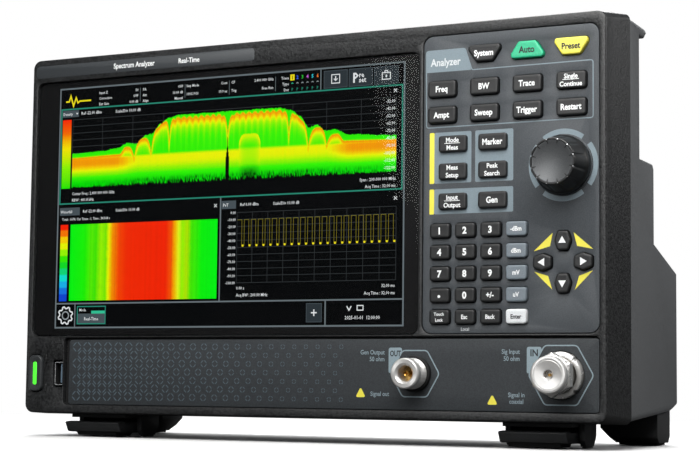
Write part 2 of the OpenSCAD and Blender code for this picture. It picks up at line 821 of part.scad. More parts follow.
// Appliance inlet with the rocker's well above it
module mains_inlet() {
    y = rear_panel_y[1];
    stand() color([0.1, 0.1, 0.11]) {
        difference() {
            union() {
                translate([INLET_AT[0], 0, INLET_AT[1]]) layer(y, y + 2) rounded_rect(31, 51, 2.5);
                translate([INLET_AT[0], 0, INLET_AT[1]]) layer(90, y) square([26.6, 46.6], center = true);
            }
            translate([INLET_AT[0], 0, INLET_AT[1] - 11]) layer(y - 13, y + 2 + cut) polygon([
                [-12, -8], [12, -8], [12, 4], [8, 8], [-8, 8], [-12, 4]
            ]);
            rod_x(ROCKER_AT, 8.3, 20);
            rod_x(ROCKER_AT, 1.5 + pin_gap, 23);
        }
        color([0.8, 0.8, 0.82])
            for (p = [[-7, -13], [7, -13], [0, -9]]) translate([INLET_AT[0] + p[0], 0, INLET_AT[1] + p[1]])
                layer(y - 14, y - 3.5) square([2, 4], center = true);
    }
}

// Power switch rocker, tipped to its off side at rest
module power_rocker() {
    tip = 8;
    stand() color([0.08, 0.08, 0.09]) translate(ROCKER_AT) {
        rotate([tip, 0, 0]) difference() {
            rod_x([0, 0, 0], 8, 19.4);
            profile(24) polygon([[5, 0], [6.6, 8.2], [12, 8.2], [12, -8.2], [6.6, -8.2]]);
        }
        rod_x([0, 0, 0], 1.5, 22.4);
    }
}

// Bayonet sockets: a hexagon base, a barrel with two lugs, and the centre contact
module rear_bnc_ports() {
    y = rear_panel_y[1];
    stand() color([0.76, 0.76, 0.78]) for (at = BNC_AT) translate([at[0], 0, at[1]]) {
        difference() {
            union() {
                translate([0, y + 2, 0]) rotate([90, 0, 0]) cylinder(r = 7.4, h = 2, $fn = 6);
                rod_y([0, 0], 4.8, 96, y + 11.8);
                rod_x([0, y + 8.5, 0], 1, 12);
            }
            rod_y([0, 0], 3.8, y + 3, y + 11.8 + cut);
        }
        rod_y([0, 0], 1, y + 3, y + 10);
    }
}

// Mounting plate of one data socket, which fills its share of the window
module socket_plate(i, at, size) {
    gap = 0.1;
    y = rear_panel_y;
    w = DATA_WINDOW;
    layer(y[0], y[1]) difference() {
        translate([DATA_SEAMS[i] + gap, w[2] + gap])
            square([DATA_SEAMS[i + 1] - DATA_SEAMS[i] - 2 * gap, w[3] - w[2] - 2 * gap]);
        translate(at) square(size, center = true);
    }
}

// Network, host, device and video sockets in a row
module rear_data_ports() {
    y = rear_panel_y[1];
    stand() {
        color([0.72, 0.73, 0.75]) {
            socket_plate(0, LAN_AT, [15, 12.6]);
            translate([LAN_AT[0], 0, LAN_AT[1]]) difference() {
                layer(90, y + 1) square([16, 13.6], center = true);
                layer(y - 9, y + 1 + cut) translate([0, -0.6]) square([11.8, 8.4], center = true);
            }
        }
        color([0.75, 0.76, 0.78]) for (i = [0, 1]) {
            at = HOST_AT[i];
            socket_plate(i + 1, at, [5.5, 12.9]);
            translate([at[0], 0, at[1]]) {
                difference() {
                    layer(92, y + 0.8) square([5.7, 13.1], center = true);
                    layer(y - 11, y + 0.8 + cut) square([5.1, 12.5], center = true);
                }
                block([0.3, y - 11, -5.5], [2.1, y - 1, 5.5]);
            }
        }
        color([0.75, 0.76, 0.78]) {
            socket_plate(3, DEVICE_AT, [11, 9.8]);
            translate([DEVICE_AT[0], 0, DEVICE_AT[1]]) {
                difference() {
                    layer(92, y + 0.8) square([12, 10.8], center = true);
                    layer(y - 11, y + 0.8 + cut) square([8.5, 7.8], center = true);
                }
                layer(y - 11, y - 2) square([5.6, 3.2], center = true);
            }
        }
        color([0.75, 0.76, 0.78]) {
            socket_plate(4, VIDEO_AT, [14.4, 4.9]);
            translate([VIDEO_AT[0], 0, VIDEO_AT[1]]) difference() {
                layer(94, y + 0.8) square([15, 5.5], center = true);
                layer(y - 9, y + 0.8 + cut) square([14, 4.5], center = true);
            }
        }
    }
}

// Pan-head screws: behind the chassis plate, and in the four wells at the back
module assembly_screws() {
    stand() color([0.7, 0.7, 0.72]) {
        for (at = PLATE_SCREWS) {
            rod_y(at, 2.8, chassis_y[1], chassis_y[1] + 1.8);
            rod_y(at, 1.25, 10, chassis_y[1]);
        }
        for (at = BACK_SCREWS) {
            rod_y(at, 3.4, case_d - 4.5, case_d - 2.3);
            rod_y(at, 1.9, rear_panel_y[0] - 0.7, case_d - 4.5);
        }
    }
}

front_bezel();
touch_glass();
lcd_module();
keypad_panel();
keypad_mat();
keypad_board();
encoder_body();
control_knob();
connector_fascia();
generator_port();
input_port();
front_usb_port();
power_button();
power_light_bar();
rear_cover();
carry_handle();
tilt_leg_left();
tilt_leg_right();
case_feet();
foot_pads();
chassis_frame();
main_board();
rf_module();
rf_cables();
power_supply();
fan_frame();
fan_rotor();
rear_panel();
mains_inlet();
power_rocker();
rear_bnc_ports();
rear_data_ports();
assembly_screws();
keys_digits();
keys_units();
for (k = KEYS)
    key(k);
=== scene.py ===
"""Looks of a benchtop spectrum analyzer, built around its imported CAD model.

Lengths are in millimetres in the front face's own frame: x to the right, y back from
the face, z up from the face's centre. FACE turns them into metres in the row frame.
"""
import json
import math
import random

import bmesh
import bpy
from mathutils import Matrix, Vector, noise

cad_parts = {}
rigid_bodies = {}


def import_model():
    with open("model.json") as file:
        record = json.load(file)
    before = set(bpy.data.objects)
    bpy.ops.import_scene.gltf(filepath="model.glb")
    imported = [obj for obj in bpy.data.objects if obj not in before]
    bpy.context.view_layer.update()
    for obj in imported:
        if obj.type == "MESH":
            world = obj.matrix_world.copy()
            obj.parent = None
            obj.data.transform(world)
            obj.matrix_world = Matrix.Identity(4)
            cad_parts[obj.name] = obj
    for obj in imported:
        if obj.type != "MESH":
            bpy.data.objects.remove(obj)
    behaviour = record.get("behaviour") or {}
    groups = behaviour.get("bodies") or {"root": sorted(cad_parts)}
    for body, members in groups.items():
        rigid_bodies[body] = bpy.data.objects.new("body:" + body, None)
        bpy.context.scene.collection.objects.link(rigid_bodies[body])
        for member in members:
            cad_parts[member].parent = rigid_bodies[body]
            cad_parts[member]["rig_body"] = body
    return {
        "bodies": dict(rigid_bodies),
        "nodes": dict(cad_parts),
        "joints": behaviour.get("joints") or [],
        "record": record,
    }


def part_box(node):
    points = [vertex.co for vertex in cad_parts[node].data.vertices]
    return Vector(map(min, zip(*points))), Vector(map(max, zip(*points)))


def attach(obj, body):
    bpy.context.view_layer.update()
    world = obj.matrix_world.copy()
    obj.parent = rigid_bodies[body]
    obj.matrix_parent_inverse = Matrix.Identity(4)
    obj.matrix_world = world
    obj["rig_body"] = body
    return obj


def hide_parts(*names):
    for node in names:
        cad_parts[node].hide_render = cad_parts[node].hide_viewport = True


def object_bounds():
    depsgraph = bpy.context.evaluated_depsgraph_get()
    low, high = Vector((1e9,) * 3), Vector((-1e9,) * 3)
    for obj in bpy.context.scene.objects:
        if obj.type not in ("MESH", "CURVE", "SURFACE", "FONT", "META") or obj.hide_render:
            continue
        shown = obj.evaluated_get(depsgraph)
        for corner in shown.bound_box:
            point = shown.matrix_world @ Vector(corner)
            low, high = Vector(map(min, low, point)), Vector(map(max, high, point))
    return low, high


for old in list(bpy.data.objects):
    bpy.data.objects.remove(old)
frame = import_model()
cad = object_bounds()
nodes = frame["nodes"]
random.seed(7)

SEAM_LIFT = 0.6  # how far the bezel's back edge sits above the face's centre
bezel_low, bezel_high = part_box("front_bezel")
FACE = Matrix.Translation((
    (bezel_low.x + bezel_high.x) / 2, bezel_low.y,
    (bezel_low.z + bezel_high.z) / 2 - SEAM_LIFT / 1000
)) @ Matrix.Scale(0.001, 4)
TO_FACE = FACE.inverted()


def node_box(name):
    """Lowest and highest corner of a CAD node, in face millimetres."""
    low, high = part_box(name)
    return TO_FACE @ low, TO_FACE @ high


def node_middle(name):
    """Middle of a CAD node in the front view, as (x, z)."""
    low, high = node_box(name)
    return (low.x + high.x) / 2, (low.z + high.z) / 2


# ---------------------------------------------------------------- shapes


def outline(points, radius, grow=0.0, steps=5):
    """A counter-clockwise outline with rounded corners, grown outwards by a margin.
    It always has the same number of points, so two of them can be joined."""
    count = len(points)
    radii = list(radius) if isinstance(radius, (list, tuple)) else [radius] * count
    pts = [Vector(p) for p in points]
    made = []
    for i in range(count):
        before, here, after = pts[i - 1], pts[i], pts[(i + 1) % count]
        d1, d2 = (here - before).normalized(), (after - here).normalized()
        turn = math.atan2(d1.x * d2.y - d1.y * d2.x, d1.dot(d2))
        n1, n2 = Vector((d1.y, -d1.x)), Vector((d2.y, -d2.x))
        corner = here + (n1 + n2) * (grow / (1 + n1.dot(n2)))
        side = 1 if turn > 0 else -1
        r = max(radii[i] + side * grow, 0.02)
        start = corner - d1 * r * math.tan(abs(turn) / 2)
        centre = start - n1 * r * side
        for k in range(steps + 1):
            arm = Matrix.Rotation(turn * k / steps, 2) @ (n1 * side * r)
            made.append(centre + arm)
    return made


def rect(x0, x1, z0, z1):
    return [(x0, z0), (x1, z0), (x1, z1), (x0, z1)]


def around(centre, w, h):
    return rect(centre[0] - w / 2, centre[0] + w / 2, centre[1] - h / 2, centre[1] + h / 2)


def circle(centre, r, steps=48):
    return [
        Vector((centre[0] + r * math.cos(math.tau * i / steps),
                centre[1] + r * math.sin(math.tau * i / steps)))
        for i in range(steps)
    ]


def ring(points, y):
    return [(p[0], y, p[1]) for p in points]


def stack(points, radius, levels, steps=5):
    """Rings of one outline, given as (grow, y) from front to back."""
    return [ring(outline(points, radius, grow, steps), y) for grow, y in levels]


def loft(bm, rings, first=False, last=False):
    """Joins rings of equal length, and closes the first and last one where asked."""
    made = [[bm.verts.new(p) for p in r] for r in rings]
    for a, b in zip(made, made[1:]):
        for i in range(len(a)):
            j = (i + 1) % len(a)
            bm.faces.new((a[i], a[j], b[j], b[i]))
    if first:
        bm.faces.new(made[0])
    if last:
        bm.faces.new(made[-1])
    return made


def fill(bm, loops):
    """Fills the flat area inside the first loop and outside the others."""
    pairs = [(v[i], v[(i + 1) % len(v)]) for v in loops for i in range(len(v))]
    edges = [bm.edges.get(p) or bm.edges.new(p) for p in pairs]
    bmesh.ops.triangle_fill(bm, edges=edges, use_beauty=True)


def plate(bm, outer, holes):
    """A closed plate: rings from front to back outside, and for each hole."""
    sides = [loft(bm, rings) for rings in (outer, *holes)]
    fill(bm, [s[0] for s in sides])
    fill(bm, [s[-1] for s in sides])


def turned(bm, centre, profile, steps=64, bend=None, first=True, last=True):
    """A turned shape about a line along y: profile is (radius, y) from front to back.
    bend(angle, radius, y) may change the radius."""
    rings = []
    for r, y in profile:
        pts = []
        for i in range(steps):
            a = math.tau * i / steps
            q = bend(a, r, y) if bend else r
            pts.append((centre[0] + q * math.cos(a), y, centre[1] + q * math.sin(a)))
        rings.append(pts)
    return loft(bm, rings, first, last)


def patch(bm, points, y):
    """A printed area: a counter-clockwise outline that looks out of the front."""
    bm.faces.new([bm.verts.new((p[0], y, p[1])) for p in points])


def band(bm, outer, inner, y):
    """A printed band between two outlines of equal length."""
    for i in range(len(outer)):
        j = (i + 1) % len(outer)
        patch(bm, (outer[i], outer[j], inner[j], inner[i]), y)


def line(bm, points, width, y, closed=False):
    """A printed line of even width along a path, with mitred corners."""
    pts = [Vector(p) for p in points]
    count = len(pts)
    sides = []
    for i in range(count):
        a = pts[i - 1] if i or closed else pts[i]
        c = pts[(i + 1) % count] if i < count - 1 or closed else pts[i]
        d1 = (pts[i] - a).normalized() if pts[i] != a else (c - pts[i]).normalized()
        d2 = (c - pts[i]).normalized() if pts[i] != c else d1
        n = Vector((-d1.y - d2.y, d1.x + d2.x))
        n = n.normalized() / max(0.3, n.length / 2)
        sides.append((pts[i] + n * width / 2, pts[i] - n * width / 2))
    for i in range(count if closed else count - 1):
        (a, b), (c, d) = sides[i], sides[(i + 1) % count]
        patch(bm, (b, d, c, a), y)


CAP = 0.72  # height of a capital letter in the built-in font, as a share of its size


def link(name, data):
    """A new object in the scene."""
    obj = bpy.data.objects.new(name, data)
    bpy.context.scene.collection.objects.link(obj)
    return obj


def look(faces, axis, sign):
    """Turns flat faces to look one way along an axis."""
    for f in faces:
        f.normal_update()
        if f.normal[axis] * sign < 0:
            f.normal_flip()


def letters(bm, text, at, height, y, align="CENTER", bold=0.0, squeeze=0.94, detail=3):
    """Flat lettering whose capitals are centred on a height."""
    curve = bpy.data.curves.new("letters", "FONT")
    curve.body, curve.size, curve.align_x = text, height / CAP, align
    curve.offset, curve.resolution_u = bold * height, detail
    obj = link("letters", curve)
    mesh = bpy.data.meshes.new_from_object(
        obj.evaluated_get(bpy.context.evaluated_depsgraph_get())
    )
    bpy.data.objects.remove(obj)
    bpy.data.curves.remove(curve)
    foot = at[1] - height / 2
    verts = [bm.verts.new((at[0] + v.co.x * squeeze, y, foot + v.co.y)) for v in mesh.vertices]
    look([bm.faces.new([verts[i] for i in p.vertices]) for p in mesh.polygons], 1, -1)
    bpy.data.meshes.remove(mesh)


def piece(name, bm, body, *mats, slot=None, stands_for=(), angle=35, solid=True, pick=None):
    """Turns a shape into a named piece that rides on a body."""
    if solid:
        bmesh.ops.remove_doubles(bm, verts=bm.verts, dist=0.0005)
        bmesh.ops.recalc_face_normals(bm, faces=bm.faces)
    if pick:
        for f in bm.faces:
            f.material_index = pick(f.calc_center_median(), f.normal)
    mesh = bpy.data.meshes.new(name)
    bm.to_mesh(mesh)
    bm.free()
    mesh.transform(FACE)
    mesh.polygons.foreach_set("use_smooth", [True] * len(mesh.polygons))
    mesh.set_sharp_from_angle(angle=math.radians(angle))
    for m in mats:
        mesh.materials.append(FINISH[m])
    obj = link(name, mesh)
    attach(obj, body)
    if stands_for:
        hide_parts(*stands_for)
    return obj


def cad_shape(node):
    """A CAD node's own shape in face millimetres, with its flat areas joined."""
    bm = bmesh.new()
    bm.from_mesh(nodes[node].data)
    bmesh.ops.transform(bm, matrix=TO_FACE, verts=bm.verts)
    bmesh.ops.remove_doubles(bm, verts=bm.verts, dist=0.002)
    bmesh.ops.dissolve_limit(bm, angle_limit=math.radians(1), verts=bm.verts, edges=bm.edges)
    return bm


SHARP = math.radians(28)  # edges at a larger angle than this are rounded


def rounded(node, name, width, *mats, slot, steps=2, pick=None):
    """A CAD node's own shape with its sharp edges rounded, which stands for the node."""
    bm = cad_shape(node)
    sharp = [e for e in bm.edges if e.is_manifold and e.calc_face_angle(0) > SHARP]
    bmesh.ops.bevel(
        bm, geom=sharp, offset=width, segments=steps, profile=0.5,
        affect="EDGES", clamp_overlap=True
    )
    body = nodes[node]["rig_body"]
    return piece(name, bm, body, *mats, slot=slot, stands_for=(node,), pick=pick)


def dress(node, *mats, pick=None):
    """Gives a CAD node its materials, by the place of each face where pick is given."""
    mesh = nodes[node].data
    mesh.materials.clear()
    for m in mats:
        mesh.materials.append(FINISH[m])
    for p in mesh.polygons:
        p.material_index = pick(TO_FACE @ p.center, p.normal) if pick else 0


# ---------------------------------------------------------------- materials


def rgb(text):
    """A colour from its six hex digits, as linear light."""
    made = []
    for i in (0, 2, 4):
        c = int(text[i:i + 2], 16) / 255
        made.append(c / 12.92 if c <= 0.04045 else ((c + 0.055) / 1.055) ** 2.4)
    return (*made, 1.0)


def add(tree, kind, inputs=None, **settings):
    """A shader node with its settings, and values or links on its sockets."""
    node = tree.nodes.new("ShaderNode" + kind)
    for key, value in settings.items():
        setattr(node, key, value)
    for key, value in (inputs or {}).items():
        if isinstance(value, bpy.types.NodeSocket):
            tree.links.new(value, node.inputs[key])
        else:
            node.inputs[key].default_value = value
    return node


def ramp(tree, factor, *stops):
    """A colour ramp: stops are (place, colour)."""
    node = add(tree, "ValToRGB", {"Fac": factor})
    points = node.color_ramp.elements
    while len(points) < len(stops):
        points.new(0.5)
    for point, (place, colour) in zip(points, stops):
        point.position, point.color = place, colour
    return node.outputs["Color"]


def sockets(mat):
    return mat.node_tree.nodes["Principled BSDF"].inputs


def surface(name, dark, light, smoothest, roughest, grain, bump, more=None):
    """A finish whose colour, gloss and relief all vary a little, as real ones do.
    grain is the fine noise in cycles per metre, and clouds is the broad noise's share."""
    settings = {"metallic": 0.0, "specular": 0.5, "step": 0.00005, "clouds": 0.25,
                "stretch": (1, 1, 1)}
    settings.update(more or {})
    mat = bpy.data.materials.new(name)
    mat.use_nodes = True
    tree = mat.node_tree
    where = add(tree, "TexCoord").outputs["Object"]
    if settings["stretch"] != (1, 1, 1):
        scale = {"Vector": where, "Scale": settings["stretch"]}
        where = add(tree, "Mapping", scale).outputs["Vector"]
    fine = add(tree, "TexNoise", {
        "Vector": where, "Scale": grain, "Detail": 3.0, "Roughness": 0.6
    }).outputs["Fac"]
    broad = add(tree, "TexNoise", {
        "Vector": where, "Scale": BROAD_NOISE, "Detail": 4.0
    }).outputs["Fac"]
    blend = add(tree, "Mix", {"Factor": settings["clouds"], "A": fine, "B": broad})
    half = blend.outputs["Result"]
    gloss = add(tree, "MapRange", {
        "Value": half, "From Min": 0.35, "From Max": 0.65,
        "To Min": smoothest, "To Max": roughest
    })
    relief = add(tree, "Bump", {"Strength": bump, "Distance": settings["step"], "Height": fine})
    into = sockets(mat)
    for key, output in (
        ("Base Color", ramp(tree, half, (0.36, rgb(dark)), (0.64, rgb(light)))),
        ("Roughness", gloss.outputs["Result"]), ("Normal", relief.outputs["Normal"])
    ):
        tree.links.new(output, into[key])
    into["Metallic"].default_value = settings["metallic"]
    into["Specular IOR Level"].default_value = settings["specular"]
    into["Coat Weight"].default_value = 0.0
    return mat


def light_up(mat, colour, strength=1.0):
    sockets(mat)["Emission Color"].default_value = rgb(colour)
    sockets(mat)["Emission Strength"].default_value = strength
    return mat


BROAD_NOISE = 35  # cycles per metre
SCREEN_BASE = ("050505", "0a0a0a", 0.5, 0.7, 1500, 0.0, {"specular": 0.0})
# name: darkest and lightest colour, least and most roughness, grain, bump, and the rest
FINISHES = {
    "bezel_paint": ("0a0b0c", "2c2d2e", 0.32, 0.46, 900, 0.8,
      {"step": 0.0002, "specular": 0.5, "clouds": 0.1}),
    "strip_paint": ("303336", "3c4043", 0.4, 0.55, 1800, 0.2, {"clouds": 0.04}),
    "panel_paint": ("3f4347", "4c5054", 0.42, 0.58, 2000, 0.25, {"clouds": 0.04, "specular": 0.3}),
    "fascia_paint": ("2e3134", "3a3e41", 0.42, 0.6, 1800, 0.3, {"clouds": 0.04, "specular": 0.3}),
    "cover_paint": ("5e6062", "727476", 0.5, 0.66, 1000, 0.5, {"step": 0.00012, "clouds": 0.1}),
    "foot_plastic": ("292a2b", "3a3b3c", 0.38, 0.6, 1700, 0.3),
    "pad_rubber": ("08090a", "131414", 0.7, 0.9, 2600, 0.5),
    "handle_rubber": ("141516", "222425", 0.6, 0.8, 2200, 0.6, {"step": 0.0001}),
    "key_rubber": ("121314", "1d1e1f", 0.4, 0.55, 2600, 0.25),
    "unit_rubber": ("6a747c", "7d878f", 0.42, 0.56, 2600, 0.25),
    "green_rubber": ("1d9b72", "2cbd8a", 0.36, 0.5, 2600, 0.2),
    "yellow_rubber": ("dcd247", "efe65c", 0.36, 0.5, 2600, 0.2),
    "white_rubber": ("cfd3d6", "e9ecee", 0.38, 0.52, 2600, 0.2),
    "knob_black": ("0c0d0e", "1a1b1c", 0.32, 0.46, 2600, 0.2),
    "knob_satin": ("424446", "4d4f51", 0.34, 0.44, 2000, 0.1, {"metallic": 0.3, "clouds": 0.0}),
    "nickel": ("d2d1ce", "dedddb", 0.24, 0.28, 300, 0.0, {"metallic": 0.6}),
    "steel": ("c8cacc", "dcdedf", 0.22, 0.3, 400, 0.0, {"metallic": 0.6}),
    "dark_steel": ("56534e", "6f6b64", 0.3, 0.5, 900, 0.1, {"metallic": 1.0}),
    "gold": ("b98a3a", "dcae5c", 0.2, 0.34, 900, 0.05, {"metallic": 1.0}),
    # black of the port's rubber washer, and painted shade on floors of recesses, in sockets and in notches
    "black_rubber_and_painted_shade": ("050506", "0b0b0c", 0.6, 0.8, 1800, 0.2),
    "socket_blue": ("5f7484", "76899a", 0.4, 0.55, 2000, 0.1),
    "button_grey": ("2c2e30", "3d4042", 0.36, 0.5, 2400, 0.15),
    "board_green": ("14502e", "1d6b3f", 0.35, 0.5, 1200, 0.3),
    "chip_black": ("121315", "1e2022", 0.4, 0.6, 1800, 0.2),
    "tin": ("b3b6b8", "cfd2d4", 0.3, 0.45, 300, 0.1, {"metallic": 1.0}),
    "aluminium": ("a2a5a8", "c3c6c9", 0.34, 0.5, 400, 0.12,
      {"metallic": 1.0, "stretch": (1, 1, 12)}),
    "copper": ("b5733f", "d0925c", 0.24, 0.4, 700, 0.1, {"metallic": 1.0}),
    "fan_black": ("141517", "232527", 0.4, 0.55, 1600, 0.2),
    "rear_paint": ("97999a", "a9abac", 0.45, 0.6, 1300, 0.35),
    "mat_rubber": ("8a8c8e", "9c9ea0", 0.6, 0.75, 1700, 0.2),
    "lcd_black": ("0c0d0e", "17181a", 0.5, 0.7, 1500, 0.1),
    "print_grey": ("7f9098", "8b9ca4", 0.5, 0.62, 2600, 0.05),
    "print_light": ("c3c8cb", "d6dadc", 0.5, 0.62, 2600, 0.05),
    "print_white": ("e2e5e6", "f4f6f6", 0.5, 0.62, 2600, 0.05),
    "print_dark": ("15181a", "22262a", 0.5, 0.62, 2600, 0.05),
    "print_yellow": ("e3d83f", "efe556", 0.5, 0.62, 2600, 0.05),
    "light_green": ("2bbf2b", "3fe03a", 0.3, 0.4, 1500, 0.05),
    "glass_border": ("060607", "0a0a0b", 0.5, 0.7, 1500, 0.0, {"specular": 0.2}),
    "print_field": ("6f7e86", "7c8b93", 0.45, 0.6, 2400, 0.08),
    "petal_print": ("4a5860", "56656f", 0.4, 0.55, 2400, 0.05),
    "bronze": ("8a6a3a", "a98a52", 0.25, 0.45, 900, 0.1, {"metallic": 1.0}),
    "glass_clear": ("06080a", "0a0c0e", 0.04, 0.08, 1500, 0.0, {"specular": 0.8}),
    "turned_nickel": ("dddcda", "e4e3e1", 0.3, 0.34, 300, 0.0, {"metallic": 0.6}),
    "heat_light": SCREEN_BASE,
}
FINISH = {name: surface(name, *row) for name, row in FINISHES.items()}
light_up(FINISH["light_green"], "5ff03a", 0.75)
sockets(FINISH["glass_clear"])["Alpha"].default_value = 0.07  # thin coated glass
# a lit area whose colour is stored on its vertices
heat_tree = FINISH["heat_light"].node_tree
tint = add(heat_tree, "Attribute", attribute_name="screen_tint").outputs["Color"]
heat_tree.links.new(tint, sockets(FINISH["heat_light"])["Emission Color"])
sockets(FINISH["heat_light"])["Emission Strength"].default_value = 1.0
# the fan-shaped glints of a lathe-turned face
turned_tree = FINISH["turned_nickel"].node_tree
grooves = add(turned_tree, "Tangent", direction_type="RADIAL", axis="Y").outputs["Tangent"]
turned_tree.links.new(grooves, sockets(FINISH["turned_nickel"])["Tangent"])
sockets(FINISH["turned_nickel"])["Anisotropic"].default_value = 0.75

# ---------------------------------------------------------------- front face

GLASS = (-170.2, 72.8, -58.2, 88.3)
PANEL = (75.5, 170.3, -57.9, 95.8)
FASCIA = (-144.4, 170.1, -96.9, -60.5)
GROOVE = (FASCIA[0] - 3, FASCIA[1], FASCIA[2], FASCIA[3] + 0.9)
KNOB_AT = node_middle("control_knob")
TG_AT = node_middle("generator_port")
RF_AT = node_middle("input_port")
POWER_AT = node_middle("power_button")
USB_AT = node_middle("front_usb_port")
GAP = 0.25


POWER_CAP = (9.3, 20.6)
NAME_STRIP = rect(-171.8, -25.8, 91.2, 98.3)


def hole(points, radius, grow, y_front, y_back, chamfer=0.3):
    """Rings of a hole with a chamfered mouth, from front to back."""
    return stack(points, radius, (
        (grow + chamfer, y_front), (grow + chamfer * 0.3, y_front + chamfer * 0.3),
        (grow, y_front + chamfer), (grow, y_back)
    ))


def front_bezel():
    w, h = 348.4, 203.8  # front face behind its rounded edge
    outer = []
    for k in range(7):
        a = math.radians(90 * k / 6)
        inset, y = 1.0 * (1 - math.sin(a)), 1.1 * (1 - math.cos(a))
        outer.append(ring(outline(around((0, 0), w, h), 5, -inset, 8), y))
    for y in (8, 15, 23.2):
        t = (y - 1.1) / 22.1
        flare = around((0, SEAM_LIFT * t), w + 9.6 * t, h + 3 * t)
        outer.append(ring(outline(flare, 5 - 1.5 * t, 0, 8), y))
    for y, wide, high, lift in (
        (23.5, 357.4, 206.2, SEAM_LIFT), (23.5, 353.6, 202.4, SEAM_LIFT), (3.0, 343.2, 198.6, 0)
    ):
        outer.append(ring(outline(around((0, lift), wide, high), 3.2, 0, 8), y))
    holes = [hole(points, radius, grow, 0, 3.0, chamfer) for points, radius, grow, chamfer in (
        (rect(*GLASS), 4, GAP, 0.5), (rect(*PANEL), 5, GAP, 0.5), (rect(*GROOVE), 2, GAP, 0.6),
        (around(POWER_AT, *POWER_CAP), 3.6, 0.35, 0.7), (around(USB_AT, 6.6, 15.2), 1, 0.1, 0.4)
    )]
    bm = bmesh.new()
    plate(bm, outer, holes)
    piece("front_bezel_shell", bm, "case", "bezel_paint", slot="bezel_plastic",
          stands_for=("front_bezel",), angle=40)

    bm = bmesh.new()
    # name strip, a shallow raised field
    loft(bm, stack(NAME_STRIP, 2, ((0, 0.05), (0, -0.06), (-0.25, -0.16)), 4), last=True)
    piece("name_strip", bm, "case", "strip_paint", slot="bezel_plastic")
    bm = bmesh.new()
    letters(bm, "Spectrum Analyzer", (-117.8, 94.9), 3.0, -0.19, "LEFT", 0.03, 0.86)
    letters(bm, "Real-Time", (-74.5, 94.7), 2.8, -0.19, "LEFT", 0.03, 0.86)
    piece("name_letters", bm, "case", "print_white", slot="bezel_plastic", solid=False)


def touch_glass():
    bm = bmesh.new()
    levels = ((-0.5, 0.8), (-0.15, 0.88), (0, 1.15), (0, 2.1), (-0.15, 2.25))
    loft(bm, stack(rect(*GLASS), 4, levels), True, True)
    piece("touch_glass_slab", bm, "case", "glass_clear", slot="screen_glass",
          stands_for=("touch_glass",))


front_bezel()
touch_glass()

# ---------------------------------------------------------------- screen

SCREEN = (-154.7, -52.7, 216.9, 135.6)  # left, bottom, width, height of the lit area
SCREEN_Y = 2.56
inks = {}
INK_COLOURS = {
    "black": "020304", "white": "e8ecee", "grey": "9aa2a6", "frame": "6d777c", "grid": "35393b",
    "teal": "2a8a74", "mint": "35c79a", "slate": "4b555b", "button": "2e363b", "yellow": "e9e04f",
    "dim": "8d8420", "one": "f2e21c", "two": "3d62e8", "three": "2fc437", "four": "c05fd0",
    "five": "35c8d8", "six": "e8792b",
}


def su(u):
    return SCREEN[0] + u * SCREEN[2]


def sv(v):
    return SCREEN[1] + (1 - v) * SCREEN[3]


def ink(colour):
    return inks.setdefault(colour, bmesh.new())


def s_rect(colour, u0, v0, u1, v1, level=1):
    patch(ink(colour), rect(su(u0), su(u1), sv(v1), sv(v0)), SCREEN_Y - 0.01 * level)


def s_line(colour, points, width=0.35, level=3, closed=False):
    path = [(su(u), sv(v)) for u, v in points]
    line(ink(colour), path, width, SCREEN_Y - 0.01 * level, closed)


def s_frame(colour, u0, v0, u1, v1, width=0.5, level=3):
    s_line(colour, [(u0, v1), (u1, v1), (u1, v0), (u0, v0)], width, level, True)


def s_text(colour, text, u, v, height=1.7, align="LEFT", bold=0.015, level=6, squeeze=0.9):
    y = SCREEN_Y - 0.01 * level
    letters(ink(colour), text, (su(u), sv(v)), height, y, align, bold, squeeze, detail=1)


def blend_stops(stops, t):
    """The colour at a place between (place, colour) stops."""
    for (p0, c0), (p1, c1) in zip(stops, stops[1:]):
        if t <= p1:
            k = 0 if p1 == p0 else min(max((t - p0) / (p1 - p0), 0), 1)
            a, b = rgb(c0), rgb(c1)
            return tuple(a[i] + (b[i] - a[i]) * k for i in range(3)) + (1.0,)
    return rgb(stops[-1][1])


def curve_at(points, u):
    for (u0, v0), (u1, v1) in zip(points, points[1:]):
        if u <= u1:
            k = (u - u0) / (u1 - u0)
            k = k * k * (3 - 2 * k)
            return v0 + (v1 - v0) * k
    return points[-1][1]


def heat_sheet(name, columns, rows, place, colour, level=4):
    """A lit grid whose colour follows a function of its place."""
    verts, faces, tints = [], [], []
    for i in range(columns + 1):
        for j in range(rows + 1):
            u, v = place(i / columns, j / rows)
            verts.append((su(u), SCREEN_Y - 0.01 * level, sv(v)))
            tints.append(colour(u, v, j / rows))
    for i in range(columns):
        for j in range(rows):
            a = i * (rows + 1) + j
            faces.append((a, a + 1, a + rows + 2, a + rows + 1))
    mesh = bpy.data.meshes.new(name)
    mesh.from_pydata([FACE @ Vector(p) for p in verts], [], faces)
    layer = mesh.color_attributes.new("screen_tint", "FLOAT_COLOR", "POINT")
    layer.data.foreach_set("color", [c for t in tints for c in t])
    mesh.materials.append(FINISH["heat_light"])
    obj = link(name, mesh)
    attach(obj, "case")


HEAT = [(0, "00ee00"), (0.25, "3cff00"), (0.5, "a4ff00"), (0.72, "f6ff00"), (0.88, "ffcc00"),
        (1, "ff9e00")]
